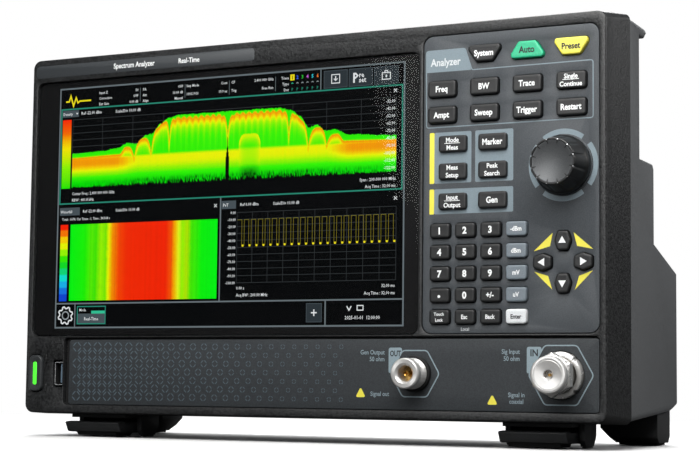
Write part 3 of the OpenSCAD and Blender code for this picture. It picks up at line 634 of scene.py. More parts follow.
# upper edge of the lit field, and top of the strong signal
TOP = [(0.036, 0.272), (0.133, 0.268), (0.175, 0.260), (0.212, 0.241), (0.236, 0.246),
       (0.266, 0.214), (0.286, 0.208), (0.31, 0.170), (0.34, 0.145), (0.366, 0.137),
       (0.66, 0.137), (0.695, 0.15), (0.72, 0.176), (0.747, 0.226), (0.766, 0.214),
       (0.794, 0.242), (0.815, 0.238), (0.86, 0.262), (0.985, 0.276)]
STRONG = [(0.036, 0.289), (0.186, 0.284), (0.205, 0.254), (0.222, 0.250), (0.252, 0.222),
          (0.275, 0.216), (0.30, 0.180), (0.325, 0.155), (0.36, 0.144), (0.66, 0.143),
          (0.70, 0.158), (0.73, 0.190), (0.755, 0.222), (0.782, 0.222), (0.806, 0.252),
          (0.826, 0.254), (0.845, 0.284), (0.985, 0.289)]
# cusps cut into the strong signal: place, depth and reach
CUSPS = [(0.232, 0.068, 0.006), (0.284, 0.085, 0.006), (0.339, 0.085, 0.003), (0.5135, 0.08, 0.005),
         (0.690, 0.080, 0.003), (0.745, 0.095, 0.006), (0.796, 0.062, 0.006)]
CARRIER = 0.5135
NARROW = (0.578, 0.033)  # middle and half width of the second signal


def smooth(low, high, value):
    t = max(0.0, min(1.0, (value - low) / (high - low)))
    return t * t * (3 - 2 * t)


def density_place(s, t):
    u = 0.036 + s * (0.985 - 0.036)
    top = curve_at(TOP, u) - abs(noise.noise(Vector((u * 700, 0.3, 0)))) * 0.011
    return u, top + (0.416 - top) * t


def density_colour(u, v, _):
    inner = smooth(0.30, 0.34, u) * (1 - smooth(0.69, 0.73, u))
    middle = math.exp(-((u - 0.53) / 0.33) ** 4)
    ridge = curve_at(STRONG, u)
    ridge += sum(depth * math.exp(-abs(u - at) / reach) for at, depth, reach in CUSPS)
    arc = 1 - abs(math.sin(math.pi * (u - CARRIER) / 0.0175))
    ridge += 0.010 * arc * inner
    deep = v - ridge
    streak = noise.noise(Vector((u * 520, v * 4, 2)))
    if deep < 0:
        heat = 0.15 + 0.5 * math.exp(deep / 0.003)
    else:
        heat = 0.16 + 0.46 * math.exp(-(deep / (0.028 + 0.008 * inner)) ** 2)
        heat += 0.42 * math.exp(-deep / (0.05 + 0.03 * arc * inner))
        heat += 0.07 * streak
    lobe = smooth(0.17, 0.25, u) * (1 - smooth(0.79, 0.87, u))
    level = 1.0 - 0.28 * lobe + 0.05 * streak
    band_shape = smooth(0.279, 0.299, v) * (1 - smooth(0.312, 0.402, v))
    heat = max(heat * (1 - smooth(0.312, 0.402, v)), level * band_shape)
    blob = abs(u - NARROW[0]) / NARROW[1]
    rim = 0.232 + 0.05 * blob ** 6
    dark = 0.0
    if blob < 1.0 and v > rim:
        fade = 1 - smooth(0.86, 1.0, blob)
        inside = 0.24 + 0.40 * math.exp(-((v - rim) / 0.028) ** 2)
        inside += 0.2 * blob ** 3 + 0.3 * band_shape
        heat += (inside * (1 - smooth(0.34, 0.40, v)) - heat) * fade
        rough = 0.75 + 0.6 * noise.noise(Vector((u * 700, v * 70, 5)))
        dark = (1 - blob ** 2) * smooth(0.35, 0.39, v) * rough
    # black spikes and specks along the bottom
    speck = noise.noise(Vector((u * 800, v * 55, 9))) + 0.12
    dark = max(dark, smooth(0.375, 0.415, v) * (0.2 + 0.8 * middle) * 4.5 * max(0, speck))
    spike = max(0, noise.noise(Vector((u * 1100, 0.5, 9))) + 0.2)
    if v > 0.414 - 0.02 * (0.3 + 0.7 * middle) * spike:
        dark = 1.0
    if v > 0.236 and abs(u - CARRIER) < 0.0012 + 0.0036 * smooth(0.27, 0.33, v):
        dark = 1.0
    k = 1 - max(0, min(1, dark))
    colour = blend_stops(HEAT, max(0, min(1, heat)))
    return (colour[0] * k, colour[1] * k, colour[2] * k, 1.0)


def fall_colour(u, v, _):
    stops = [(0.037, "00ff10"), (0.085, "1cff00"), (0.105, "5cf800"), (0.118, "3cf000"),
             (0.134, "a0ff00"), (0.150, "78f400"), (0.158, "f4ff00"), (0.170, "ff9800"),
             (0.190, "ff4a00"), (0.215, "ff2c00"), (0.335, "ff2600"), (0.352, "ff5a00"),
             (0.364, "ffc800"), (0.372, "f0ff20"), (0.384, "9cff00"), (0.398, "b8f000"),
             (0.410, "4cf400"), (0.440, "08ff08"), (0.490, "00ff14")]
    u2 = u + 0.002 * noise.noise(Vector((u * 90, v * 300, 5)))
    c = blend_stops(stops, u2)
    k = 1 - 0.28 * max(0, noise.noise(Vector((u * 600, 0, 9))))
    k -= 0.06 * max(0, noise.noise(Vector((u * 40, v * 500, 1))))
    return (c[0] * k, c[1] * k, c[2] * k, 1.0)


GREEN_TO_RED = [(0, "ff2400"), (0.2, "ff6a00"), (0.42, "fff000"), (0.7, "8cff00"), (1, "18f000")]
RAINBOW = ["ff2200", "ff7a00", "ffd800", "f0ff00", "9cff00", "38f400",
           "10e428", "10e07c", "10e8d8", "18b8f0", "1878e8", "1048d8"]
LEFT_WORDS = (
    ("Density", 0.004, 0.098, 1.7), ("Ref -22.00 dBm", 0.062, 0.098, 1.8),
    ("Scale/Div 10.00 dB", 0.171, 0.100, 1.8),
    ("Center Freq : 2.400 000 000 GHz", 0.038, 0.440, 1.7), ("RBW : 401.8 kHz", 0.038, 0.467, 1.7),
    ("Waterfall", 0.003, 0.516, 1.7), ("Ref -22.00 dBm", 0.074, 0.516, 1.7),
    ("Scale/Div 10.00 dB", 0.178, 0.517, 1.7),
    ("Total : 1674, Cur Trace : 1, Time : 34.368 s", 0.008, 0.548, 1.5),
    ("PvT", 0.503, 0.516, 1.8), ("Ref 0.00 dBm", 0.553, 0.516, 1.7),
    ("Scale/Div 10.00 dB", 0.648, 0.517, 1.7), ("0.00 s", 0.545, 0.852, 1.7),
    ("Acq BW : 200.00 MHz", 0.545, 0.880, 1.7), ("Mode", 0.070, 0.932, 1.6)
)
RIGHT_WORDS = (("Span : 200.000 000 MHz", 0.440), ("Acq Time : 32.00 ms", 0.467),
               ("32.00 ms", 0.852), ("Acq Time : 32.00 ms", 0.880))
SETTINGS = (  # left and right edge of a column, then its entries
    (0.118, 0.241, ("Input Z", "50"), ("Correction", "OFF"), ("Ext Gain", "0.00 dB")),
    (0.255, 0.378, ("PA", "OFF"), ("Att", "10.00 dB"), ("Align", "Manual")),
    (0.388, 0.510, ("Swp Mode", "Cont"), ("100% POI", "19.9 us")),
    (0.522, 0.644, ("CF", "2.400 000 GHz"), ("Trig", "Free Run"))
)
TABS = (("slate", 0.002, 0.083, 0.054, 0.112), ("slate", 0.0, 0.499, 0.064, 0.532),
        ("slate", 0.499, 0.499, 0.541, 0.532), ("slate", 0.064, 0.948, 0.152, 0.990),
        ("mint", 0.108, 0.936, 0.152, 0.948))
BUTTONS = ((0.787, 0.002, 0.851, 0.070), (0.856, 0.002, 0.920, 0.070),
           (0.925, 0.002, 0.989, 0.070), (0.745, 0.918, 0.787, 0.990))
DIVIDERS = ((0.8, (0.496, 0.484), (0.496, 0.905)), (0.8, (-0.004, 0.905), (1.004, 0.905)),
            (0.7, (0.056, 0.905), (0.056, 1.004)), (0.8, (0.797, 0.905), (0.797, 1.004)))
STROKES = (  # width, then the path of a white line in a symbol
    (0.6, (0.819, 0.024), (0.819, 0.040)), (0.5, (0.814, 0.034), (0.819, 0.042), (0.824, 0.034)),
    (0.5, (0.952, 0.026), (0.954, 0.018), (0.960, 0.018), (0.962, 0.026)),
    (0.45, (0.046, 0.095), (0.0485, 0.100), (0.051, 0.095)),
    (0.7, (0.758, 0.954), (0.774, 0.954)), (0.7, (0.766, 0.941), (0.766, 0.967)),
    (0.6, (0.856, 0.93), (0.862, 0.946), (0.868, 0.93))
)
BOXES = ((0.808, 0.018, 0.830, 0.052), (0.946, 0.026, 0.968, 0.052), (0.884, 0.928, 0.900, 0.946))
CROSSES = ((0.982, 0.092, 0.104), (0.481, 0.510, 0.523), (0.984, 0.510, 0.523))
GEAR = (0.026, 0.955)


def round_gear(r, a):
    return GEAR[0] + r * math.cos(a) / SCREEN[2], GEAR[1] + r * math.sin(a) / SCREEN[3]


def screen():
    s_rect("black", -0.012, -0.012, 1.012, 1.012, 0)
    s_frame("frame", -0.006, -0.010, 1.006, 1.006, 0.9, 1)
    # top bar: a trace mark, columns of settings, the trace table
    s_line("one", [(0.012, 0.045), (0.022, 0.045), (0.027, 0.022), (0.036, 0.064),
                   (0.044, 0.030), (0.050, 0.052), (0.056, 0.045), (0.092, 0.045)], 0.9)
    for left, right, *entries in SETTINGS:
        gap = 0.024 if len(entries) == 3 else 0.034
        for i, (a, b) in enumerate(entries):
            s_text("white", a, left, 0.016 + i * gap, 1.55)
            s_text("white", b, right, 0.016 + i * gap, 1.55, "RIGHT")
        s_line("frame", [(right + 0.006, 0.008), (right + 0.006, 0.066)], 0.3)
    for i, word in enumerate(("Trace", "Type", "Det")):
        s_text("white", word, 0.688, 0.016 + i * 0.024, 1.6, "RIGHT")
    for i, colour in enumerate(("one", "two", "three", "four", "five", "six")):
        u, first = 0.698 + i * 0.0142, i == 0
        if first:
            s_rect("one", u - 0.006, 0.004, u + 0.006, 0.028, 4)
        s_text("black" if first else colour, str(i + 1), u, 0.016, 2.0, "CENTER", 0.04)
        tick = [(u - 0.003, 0.041), (u, 0.038), (u + 0.003, 0.041)]
        s_line("mint" if first else "grey", tick, 0.4)
        s_text("teal", "P", u, 0.064, 1.7, "CENTER", 0.02)

    for box in BUTTONS:
        s_rect("button", *box, 2)
        s_frame("slate", *box, 0.3)
    for text, u, v, height in LEFT_WORDS:
        s_text("white", text, u, v, height)
    for text, v in RIGHT_WORDS:
        s_text("white", text, 0.984, v, 1.7, "RIGHT")
    for colour, *box in TABS:
        s_rect(colour, *box, 2)
    for width, *path in DIVIDERS:
        s_line("frame", path, width, 2)
    for width, *path in STROKES:
        s_line("white", path, width)
    for box in BOXES:
        s_frame("white", *box)
    for u, v0, v1 in CROSSES:
        s_line("white", [(u - 0.004, v0), (u + 0.004, v1)], 0.4)
        s_line("white", [(u + 0.004, v0), (u - 0.004, v1)], 0.4)
    s_line("frame", [(0.778, -0.006), (0.778, 0.074)], 0.6)
    s_text("white", "P", 0.866, 0.036, 5.2, "LEFT", 0.04)
    s_text("white", "re", 0.883, 0.026, 2.8, "LEFT", 0.03)
    s_text("white", "set", 0.883, 0.046, 2.8, "LEFT", 0.03)
    s_rect("white", 0.955, 0.034, 0.959, 0.044, 4)

    # density panel
    s_frame("teal", -0.001, 0.078, 1.001, 0.482, 0.8, 2)
    for i in range(1, 10):
        u, v = 0.036 + i * 0.0949, 0.124 + i * 0.029
        s_line("grid", [(u, 0.124), (u, 0.414)], 0.28, 1)
        s_line("grid", [(0.036, v), (0.985, v)], 0.28, 1)
    s_frame("grid", 0.036, 0.124, 0.985, 0.414, 0.28, 1)
    heat_sheet("density_plot", 640, 60, density_place, density_colour)
    heat_sheet("density_key", 1, 24, lambda s, t: (0.003 + s * 0.028, 0.123 + t * 0.294),
               lambda u, v, t: blend_stops(GREEN_TO_RED, t))
    for i in range(10):
        s_text("white", f"-{32 + 10 * i}.00", 0.982, 0.138 + i * 0.0288, 1.7, "RIGHT")

    # waterfall panel
    heat_sheet("waterfall_plot", 300, 30,
               lambda s, t: (0.036 + s * 0.452, 0.571 + t * 0.322), fall_colour)
    heat_sheet("waterfall_key", 1, 48, lambda s, t: (0.004 + s * 0.024, 0.571 + t * 0.324),
               lambda u, v, t: rgb(RAINBOW[min(11, int(t * 12))]))

    # pulse panel
    for i in range(11):
        u, v = 0.545 + i * 0.0441, 0.548 + i * 0.0283
        s_text("white", f"-{10 * i}.00" if i else "0.00", 0.541, v, 1.6, "RIGHT")
        s_line("grid", [(0.545, v), (0.986, v)], 0.28, 1)
        s_line("grid", [(u, 0.548), (u, 0.831)], 0.28, 1)
    pulse = []
    for i in range(22):
        u = 0.546 + i * 0.02
        pulse += [(u, 0.578), (u + 0.013, 0.578), (u + 0.013, 0.682), (u + 0.02, 0.682)]
        s_rect("one", u + 0.0135, 0.678, u + 0.0185, 0.686, 4)
    s_line("dim", pulse, 0.2, 3)

    # bottom bar: a gear, the mode's tab, a plus sign, date and time
    turns = [math.tau * i / 32 for i in range(32)]
    gear = [round_gear(5.0 if (i // 2) % 2 else 4.0, a) for i, a in enumerate(turns)]
    s_line("white", gear[::-1], 0.8, 3, True)
    s_line("grey", [round_gear(2.2, -a / 2) for a in range(13)], 0.7, 3, True)
    s_text("white", "Real-Time", 0.108, 0.969, 1.9, "CENTER")
    s_frame("teal", 0.064, 0.918, 0.152, 0.990, 0.6, 3)
    s_text("white", "2025-01-01  12:00:00", 0.898, 0.974, 1.9, "CENTER")

    for colour, bm in inks.items():
        name = "glow_" + colour
        FINISH[name] = light_up(surface(name, *SCREEN_BASE), INK_COLOURS[colour])
        piece("screen_" + colour, bm, "case", name, slot="lcd_housing", solid=False)
    # black print behind the glass, round the lit area
    bm = bmesh.new()
    glass = outline(rect(*GLASS), 4, -0.3)
    window = outline(rect(su(-0.010), su(1.010), sv(1.010), sv(-0.014)), 0.3)
    band(bm, glass, window, 2.32)
    piece("glass_border_print", bm, "case", "glass_border", slot="screen_glass", solid=False)


screen()

# ---------------------------------------------------------------- keypad

FUNCTION_KEY, NUMBER_KEY = (15.5, 8.5), (11, 7.3)
KEY_FRONT, PANEL_FRONT, KEY_RADIUS = -1.7, 0.4, 1.5
TAPER = [(-8.7, 4.3), (-8.7, 1.8), (-4.6, -4.3), (4.6, -4.3), (8.7, 1.8), (8.7, 4.3)]
ARROW = [(-2.7, 4.85), (-4.4, 0), (-2.7, -4.85), (2.7, -4.85), (4.4, 0), (2.7, 4.85)]


def shape_of(node, centre, small=False):
    """Outline of a key about its centre."""
    if node in ("key_system", "key_preset"):
        made = TAPER
    elif node == "key_auto":
        made = [(-x, -z) for x, z in TAPER]
    elif node.startswith("key_arrow"):
        turn = {"up": 0, "left": 1, "down": 2, "right": 3}[node.split("_")[2]]
        made = ARROW
        for _ in range(turn):
            made = [(-z, x) for x, z in made]
    else:
        return around(centre, *(NUMBER_KEY if small else FUNCTION_KEY))
    return [(centre[0] + x, centre[1] + z) for x, z in made]


def parts_of(node):
    """Centres of the separate keys in a CAD node, top row first."""
    low, high = node_box(node)
    across = round((high.x - low.x - 12.8) / 13.93)
    down = round((high.z - low.z - 9.1) / 11)
    return [
        (low.x + 6.4 + i * 13.93, high.z - 4.55 - j * 11)
        for j in range(down + 1) for i in range(across + 1)
    ]


def key_cap(bm, points, radius):
    """A moulded key: flange behind the panel, straight sides, soft front edge."""
    rings = [
        (-1.5, 3.6), (0.85, 3.6), (0.85, 2.75), (0, 2.75), (0, -0.95), (-0.07, -1.25),
        (-0.24, -1.48), (-0.5, -1.62), (-0.9, KEY_FRONT), (-1.7, KEY_FRONT + 0.03),
        (-2.6, KEY_FRONT + 0.08)
    ]
    loft(bm, stack(points, radius, rings), True, True)


LEGENDS = {
    "key_freq": ("Freq",), "key_bandwidth": ("BW",), "key_trace": ("Trace",),
    "key_single": ("Single", "Continue"), "key_amplitude": ("Ampt",), "key_sweep": ("Sweep",),
    "key_trigger": ("Trigger",), "key_restart": ("Restart",),
    "key_mode": ("Mode", "Meas"), "key_marker": ("Marker",), "key_measure": ("Meas", "Setup"),
    "key_peak": ("Peak", "Search"), "key_input": ("Input", "Output"), "key_generator": ("Gen",),
    "key_system": ("System",), "key_auto": ("Auto",), "key_preset": ("Preset",),
    "key_lock": ("Touch", "Lock"), "key_escape": ("Esc",), "key_back": ("Back",), "key_enter": ("Enter",)
}
RULED = ("key_single", "key_mode", "key_input")
SMALL = ("key_lock", "key_escape", "key_back", "key_enter")
CAPS = {"key_auto": ("green_rubber", "key_green"), "key_preset": ("yellow_rubber", "key_yellow"),
        "key_enter": ("white_rubber", "key_white")}
LEGEND_Y = KEY_FRONT - 0.03


def keypad_keys():
    for node in nodes:
        if not node.startswith("key_"):
            continue
        body = nodes[node]["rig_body"]
        centre, small = node_middle(node), node in SMALL
        finish, slot = CAPS.get(node, ("key_rubber", "key_black"))
        bm = bmesh.new()
        key_cap(bm, shape_of(node, centre, small), KEY_RADIUS)
        piece(node + "_moulding", bm, body, finish, slot=slot, stands_for=(node,))
        bm = bmesh.new()
        words = LEGENDS.get(node)
        paint = "print_dark" if node in CAPS else "print_white"
        if not words:
            turn = {"up": 0, "left": 1, "down": 2, "right": 3}[node.split("_")[2]]
            mark = [(0, 2.2), (-2.0, -1.3), (2.0, -1.3)]
            for _ in range(turn):
                mark = [(-z, x) for x, z in mark]
            patch(bm, [(centre[0] + x, centre[1] + z) for x, z in mark], LEGEND_Y)
        elif len(words) == 1:
            tall = {"key_auto": 3.4, "key_preset": 3.2, "key_system": 3.1}.get(node, 2.2 if small else 3.1)
            letters(bm, words[0], centre, tall, LEGEND_Y, bold=0.04, squeeze=0.86)
        else:
            tall, lift = (1.7, 1.5) if small else (2.45, 1.95)
            for word, z in zip(words, (centre[1] + lift, centre[1] - lift)):
                letters(bm, word, (centre[0], z), tall, LEGEND_Y, bold=0.035, squeeze=0.92)
            if node in RULED:
                patch(bm, around((centre[0], centre[1] + 0.2), 8.6, 0.3), LEGEND_Y)
        piece(node + "_legend", bm, body, paint, slot=slot, solid=False)

    groups = (
        ("keys_digits", (*"123456789.0", "+/-"), "key_rubber", "key_black"),
        ("keys_units", ("-dBm", "dBm", "mV", "uV"), "unit_rubber", "key_bluegrey")
    )
    for node, words, finish, slot in groups:
        body = nodes[node]["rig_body"]
        caps, marks = bmesh.new(), bmesh.new()
        for word, centre in zip(words, parts_of(node)):
            key_cap(caps, around(centre, *NUMBER_KEY), KEY_RADIUS)
            if word == ".":
                patch(marks, circle((centre[0], centre[1] - 0.6), 0.75, 16), LEGEND_Y)
            elif word == "+/-":
                letters(marks, "+/-", centre, 2.7, LEGEND_Y, bold=0.06)
            elif node == "keys_digits":
                letters(marks, word, centre, 3.4, LEGEND_Y, bold=0.06)
            else:
                letters(marks, word, centre, 2.3, LEGEND_Y, bold=0.05, squeeze=0.88)
        piece(node + "_mouldings", caps, body, finish, slot=slot, stands_for=(node,))
        piece(node + "_legends", marks, body, "print_white", slot=slot, solid=False)


def keypad_panel():
    shapes = []
    for node in nodes:
        if node.startswith("key_"):
            shapes.append(shape_of(node, node_middle(node), node in SMALL))
        elif node in ("keys_digits", "keys_units"):
            shapes += [around(centre, *NUMBER_KEY) for centre in parts_of(node)]
    holes = [hole(shape, KEY_RADIUS, 0.35, PANEL_FRONT, 2.4, 0.25) for shape in shapes]
    holes.append([ring(circle(KNOB_AT, 3.8), PANEL_FRONT), ring(circle(KNOB_AT, 3.8), 2.4)])
    p = rect(*PANEL)
    outer = stack(p, 5, ((-0.45, 0.4), (-0.2, 0.47), (-0.05, 0.62), (0, 0.9), (0, 2.4)))
    bm = bmesh.new()
    plate(bm, outer, holes)
    piece("keypad_panel_plate", bm, "case", "panel_paint", slot="panel_plastic",
          stands_for=("keypad_panel",))

    # printed frames and fields
    y = PANEL_FRONT - 0.03
    bm = bmesh.new()
    frame = [(77.2, 48.1), (167.2, 48.4), (167.2, 77.3), (102.4, 76.9), (98.6, 88.3), (76.9, 88.2)]
    band(bm, outline(frame, 1.2, 0.28, 3), outline(frame, 1.2, -0.28, 3), y)
    tab = [(77.2, 76.9), (102.0, 76.9), (98.6, 88.2), (77.2, 88.2)]
    patch(bm, outline(tab, [0.3, 0.3, 1.4, 1.4], 0, 3), y - 0.005)
    for box in ((81.7, 102.3, 19.0, 45.4), (104.4, 125.1, 19.0, 45.4), (81.7, 125.1, 3.2, 16.1)):
        patch(bm, outline(rect(*box), 0.8, 0, 3), y)
    for quarter in range(4):
        a0, a1 = math.radians(-37 + 90 * quarter), math.radians(37 + 90 * quarter)
        arc = [a0 + (a1 - a0) * k / 20 for k in range(21)]
        path = [(KNOB_AT[0] + 16.9 * math.cos(a), KNOB_AT[1] + 16.9 * math.sin(a)) for a in arc]
        line(bm, path, 2.6, y)
    piece("panel_print_grey", bm, "case", "print_field", slot="panel_plastic", solid=False)
    bm = bmesh.new()
    patch(bm, outline(rect(79.1, 81.7, 19.0, 45.4), 0.5, 0, 3), y - 0.006)
    patch(bm, outline(rect(79.1, 81.7, 3.2, 16.1), 0.5, 0, 3), y - 0.006)
    for points in (
        ((146, -8.2), (136.1, -17.1), (144.7, -14.8)), ((157, -8.2), (158.8, -15), (167.1, -16.7)),
        ((136.4, -27.3), (145.8, -36.3), (143.7, -29.6)), ((167, -27.2), (159.8, -29.8), (157.7, -36.5))
    ):
        area = sum(a[0] * b[1] - b[0] * a[1] for a, b in zip(points, points[1:] + points[:1]))
        patch(bm, points if area > 0 else points[::-1], y - 0.006)
    piece("panel_print_yellow", bm, "case", "print_yellow", slot="panel_plastic", solid=False)
    bm = bmesh.new()
    letters(bm, "Analyzer", (79.5, 82.1), 3.9, y - 0.02, "LEFT", 0.03, 0.86)
    letters(bm, "Local", (99.2, -55.6), 1.7, y - 0.02, "CENTER", 0.02)
    piece("panel_letters", bm, "case", "print_light", slot="panel_plastic", solid=False)


def control_knob():
    base, front = -0.9, -16.0

    def fluted(a, r, y):
        near = abs((math.degrees(a) - 15) % 30 - 15)  # 0 halfway between flutes, 15 on one
        depth = 0.5 * math.exp(-((15 - near) / 3.0) ** 2)
        reach = min(max((-y - 3.5) / 4, 0), 1)
        return r - depth * reach if r > 10.9 else r

    def dished(r):
        return front + 0.2 + 1.7 * (1 - (r / 10.6) ** 2)

    profile = [
        (4, front + 2.5), (10.7, front + 2.5), (10.8, front + 0.35), (10.95, front + 0.05),
        (11.2, front), (11.5, front + 0.12), (11.72, front + 0.4), (11.85, front + 0.9),
        (12.1, front + 2.6), (12.5, front + 5), (12.95, front + 7.5), (13.4, front + 9.8),
        (13.75, front + 11.4), (14.1, front + 12.2), (14.55, front + 12.7), (14.7, front + 13.1),
        (14.7, base - 0.25), (14.5, base)
    ]
    bm = bmesh.new()
    turned(bm, KNOB_AT, profile, 192, fluted)
    piece("knob_grip", bm, "knob", "knob_black", slot="knob_plastic",
          stands_for=("control_knob",), angle=50)
    # dished satin disc; at its edge twelve notches, each drawn as a black prism for painted shade inside
    # the notch, with a small steel bead at its outer end for a painted glint
    bm = bmesh.new()
    dish = [(r, dished(r)) for r in (0.8, 2.5, 4.2, 5.8, 7.2, 8.5, 9.5, 10.1)]
    dish += [(10.5, front + 0.3), (10.7, front + 0.5), (10.7, front + 2.4)]
    turned(bm, KNOB_AT, dish, 96)
    piece("knob_disc", bm, "knob", "knob_satin", slot="knob_plastic")
    notch_shade, notch_glints = bmesh.new(), bmesh.new()
    for k in range(12):
        a = math.radians(15 + 30 * k)
        out, across = Vector((math.cos(a), math.sin(a))), Vector((-math.sin(a), math.cos(a)))
        for bm, r0, r1, half0, half1, y0, y1 in (
            (notch_shade, 8.9, 10.9, 0.16, 0.42, dished(8.9) - 0.02, front - 0.01),
            (notch_glints, 10.95, 11.4, 0.3, 0.2, front - 0.03, front + 0.08)
        ):
            corners = [
                (Vector(KNOB_AT) + out * r + across * half, y)
                for r, half, y in ((r0, -half0, y0), (r1, -half1, y1), (r1, half1, y1), (r0, half0, y0))
            ]
            loft(bm, [[(c.x, y + deep, c.y) for c, y in corners] for deep in (0, 0.5)], True, True)
    # black prisms where the notches are: painted shade
    piece("knob_notch_painted_shade", notch_shade, "knob", "black_rubber_and_painted_shade", slot="knob_plastic")
    # small bright steel beads at the notches' outer ends: painted glints
    piece("knob_notch_painted_glints", notch_glints, "knob", "steel", slot="knob_plastic")
    # raised collar on the panel, round the knob's foot
    bm = bmesh.new()
    collar = [(13.2, 0.5), (15.5, 0.4), (15.4, 0.05), (15.1, -0.15), (14.95, -0.2), (14.9, 0.1),
              (13.2, 0.15)]
    turned(bm, KNOB_AT, collar, 96, first=False, last=False)
    piece("knob_collar", bm, "case", "panel_paint", slot="panel_plastic")


keypad_keys()
keypad_panel()
control_knob()

# ---------------------------------------------------------------- connector fascia

FASCIA_FRONT = 0.6


def hexagon(centre, flat):
    """A hexagon with a corner at each side, from its size across the flats."""
    r = flat / math.sqrt(3)
    turns = [math.radians(a) for a in range(0, 360, 60)]
    return [(centre[0] + r * math.cos(a), centre[1] + r * math.sin(a)) for a in turns]


def connector_fascia():
    f = rect(*FASCIA)
    outer = stack(f, 1.6, ((-0.4, 0.6), (-0.15, 0.67), (0, 0.95), (0, 3.0)))
    holes = []
    for centre, r in ((TG_AT, 8.75), (RF_AT, 12.1)):
        holes.append([ring(circle(centre, q, 72), y) for q, y in ((r + 0.25, 0.6), (r, 0.85), (r, 3.0))])
    bm = bmesh.new()
    plate(bm, outer, holes)
    piece("fascia_plate", bm, "case", "fascia_paint", slot="fascia_plastic",
          stands_for=("connector_fascia",))
    # black floor of the groove at the left, and behind the two ports: painted shade in the recess
    bm = bmesh.new()
    loft(bm, stack(rect(*GROOVE), 2, ((0.2, 3.05), (0.2, 4.6))), True, True)
    piece("fascia_groove_painted_shade", bm, "case", "black_rubber_and_painted_shade", slot="fascia_plastic")

    y = FASCIA_FRONT - 0.03
    bm = bmesh.new()
    for j in range(7):
        for i in range(25 if j % 2 == 0 else 24):
            cx, cz = -139 + 7 * i + (3.5 if j % 2 else 0), -64.5 - 4.6 * j
            fade = max(0.0, min(1.0, (cx + 122) / 125))  # 0 at the left, 1 where the rings are smallest
            reach, half, wide = 2.1 - 1.1 * fade, 1.6 - 0.9 * fade, 0.4 - 0.2 * fade
            bend = 0.22 * fade  # the petals of the small rings follow their circle
            for q in range(4):
                a = math.radians(45 + 90 * q)
                out, along = Vector((math.cos(a), math.sin(a))), Vector((-math.sin(a), math.cos(a)))
                mid = Vector((cx, cz)) + out * reach
                lens = []
                for side, steps, swell in ((-1, range(9), 0.5), (1, range(1, 8), 1.2)):
                    for k in steps:
                        t = math.pi * k / 8
                        x = side * math.cos(t)
                        rise = side * swell * wide * math.sin(t) - bend * x * x
                        lens.append(mid + along * half * x + out * rise)
                patch(bm, lens, y)
    look(bm.faces, 1, -1)
    piece("fascia_petals", bm, "case", "petal_print", slot="fascia_plastic", solid=False)

    bm, dark, yellow = bmesh.new(), bmesh.new(), bmesh.new()
    ports = (
        (TG_AT, 23.7, (56.5, 64.1, -78.2, -65.0), ("OUT", 2.9, 0.72), ("Gen Output", "50 ohm"),
         (54.2, -67.3), (("Signal out",), (51.5, -88.7)), (40.5, -88.0)),
        (RF_AT, 29.3, (132.4, 140.2, -78.0, -64.6), ("IN", 3.4, 0.9), ("Sig Input", "50 ohm"),
         (128.7, -66.9), (("Signal in", "coaxial"), (126.9, -88.4)), (114.0, -90.9))
    )
    for centre, flat, flag, (mark, tall, squeeze), words, at, (notes, note_at), corner in ports:
        hexa = hexagon(centre, flat)
        band(bm, outline(hexa, 2.6, 0.32, 4), outline(hexa, 2.6, -0.32, 4), y)
        x0, x1, z0, z1 = flag
        # the flag's lower right is cut along the hexagon's upper left side
        left = hexa[3]
        meets = left[1] + (x1 - left[0]) * math.tan(math.radians(60)) + 0.4
        cut = [(x0, z0), (left[0] + 0.9, z0 + 0.4), (x1, meets), (x1, z1), (x0, z1)]
        if cut[2][1] > z1 - 0.5:
            cut[2] = (x1, z1 - 0.5)
        patch(bm, outline(cut, [0.8, 0.3, 0.3, 1.1, 1.1], 0, 3), y - 0.005)
        mid = ((x0 + x1) / 2, z1 - 2.9)
        letters(dark, mark, mid, tall, y - 0.02, "CENTER", 0.04, squeeze)
        for k, word in enumerate(words):
            letters(bm, word, (at[0], at[1] - 3.5 * k), 2.35, y, "RIGHT", 0.02, 0.86)
        for k, note in enumerate(notes):
            letters(bm, note, (note_at[0], note_at[1] - 3.3 * k), 2.3, y, "CENTER", 0.02, 0.86)
        steps = ((-2.9, -2.6), (2.9, -2.6), (0, 2.6))
        triangle = [(corner[0] + dx, corner[1] + dz) for dx, dz in steps]
        patch(yellow, outline(triangle, 0.6, 0, 3), y)
    for made, colour in ((bm, "grey"), (dark, "dark"), (yellow, "yellow")):
        piece("fascia_print_" + colour, made, "case", "print_" + colour, slot="fascia_plastic",
              solid=False)


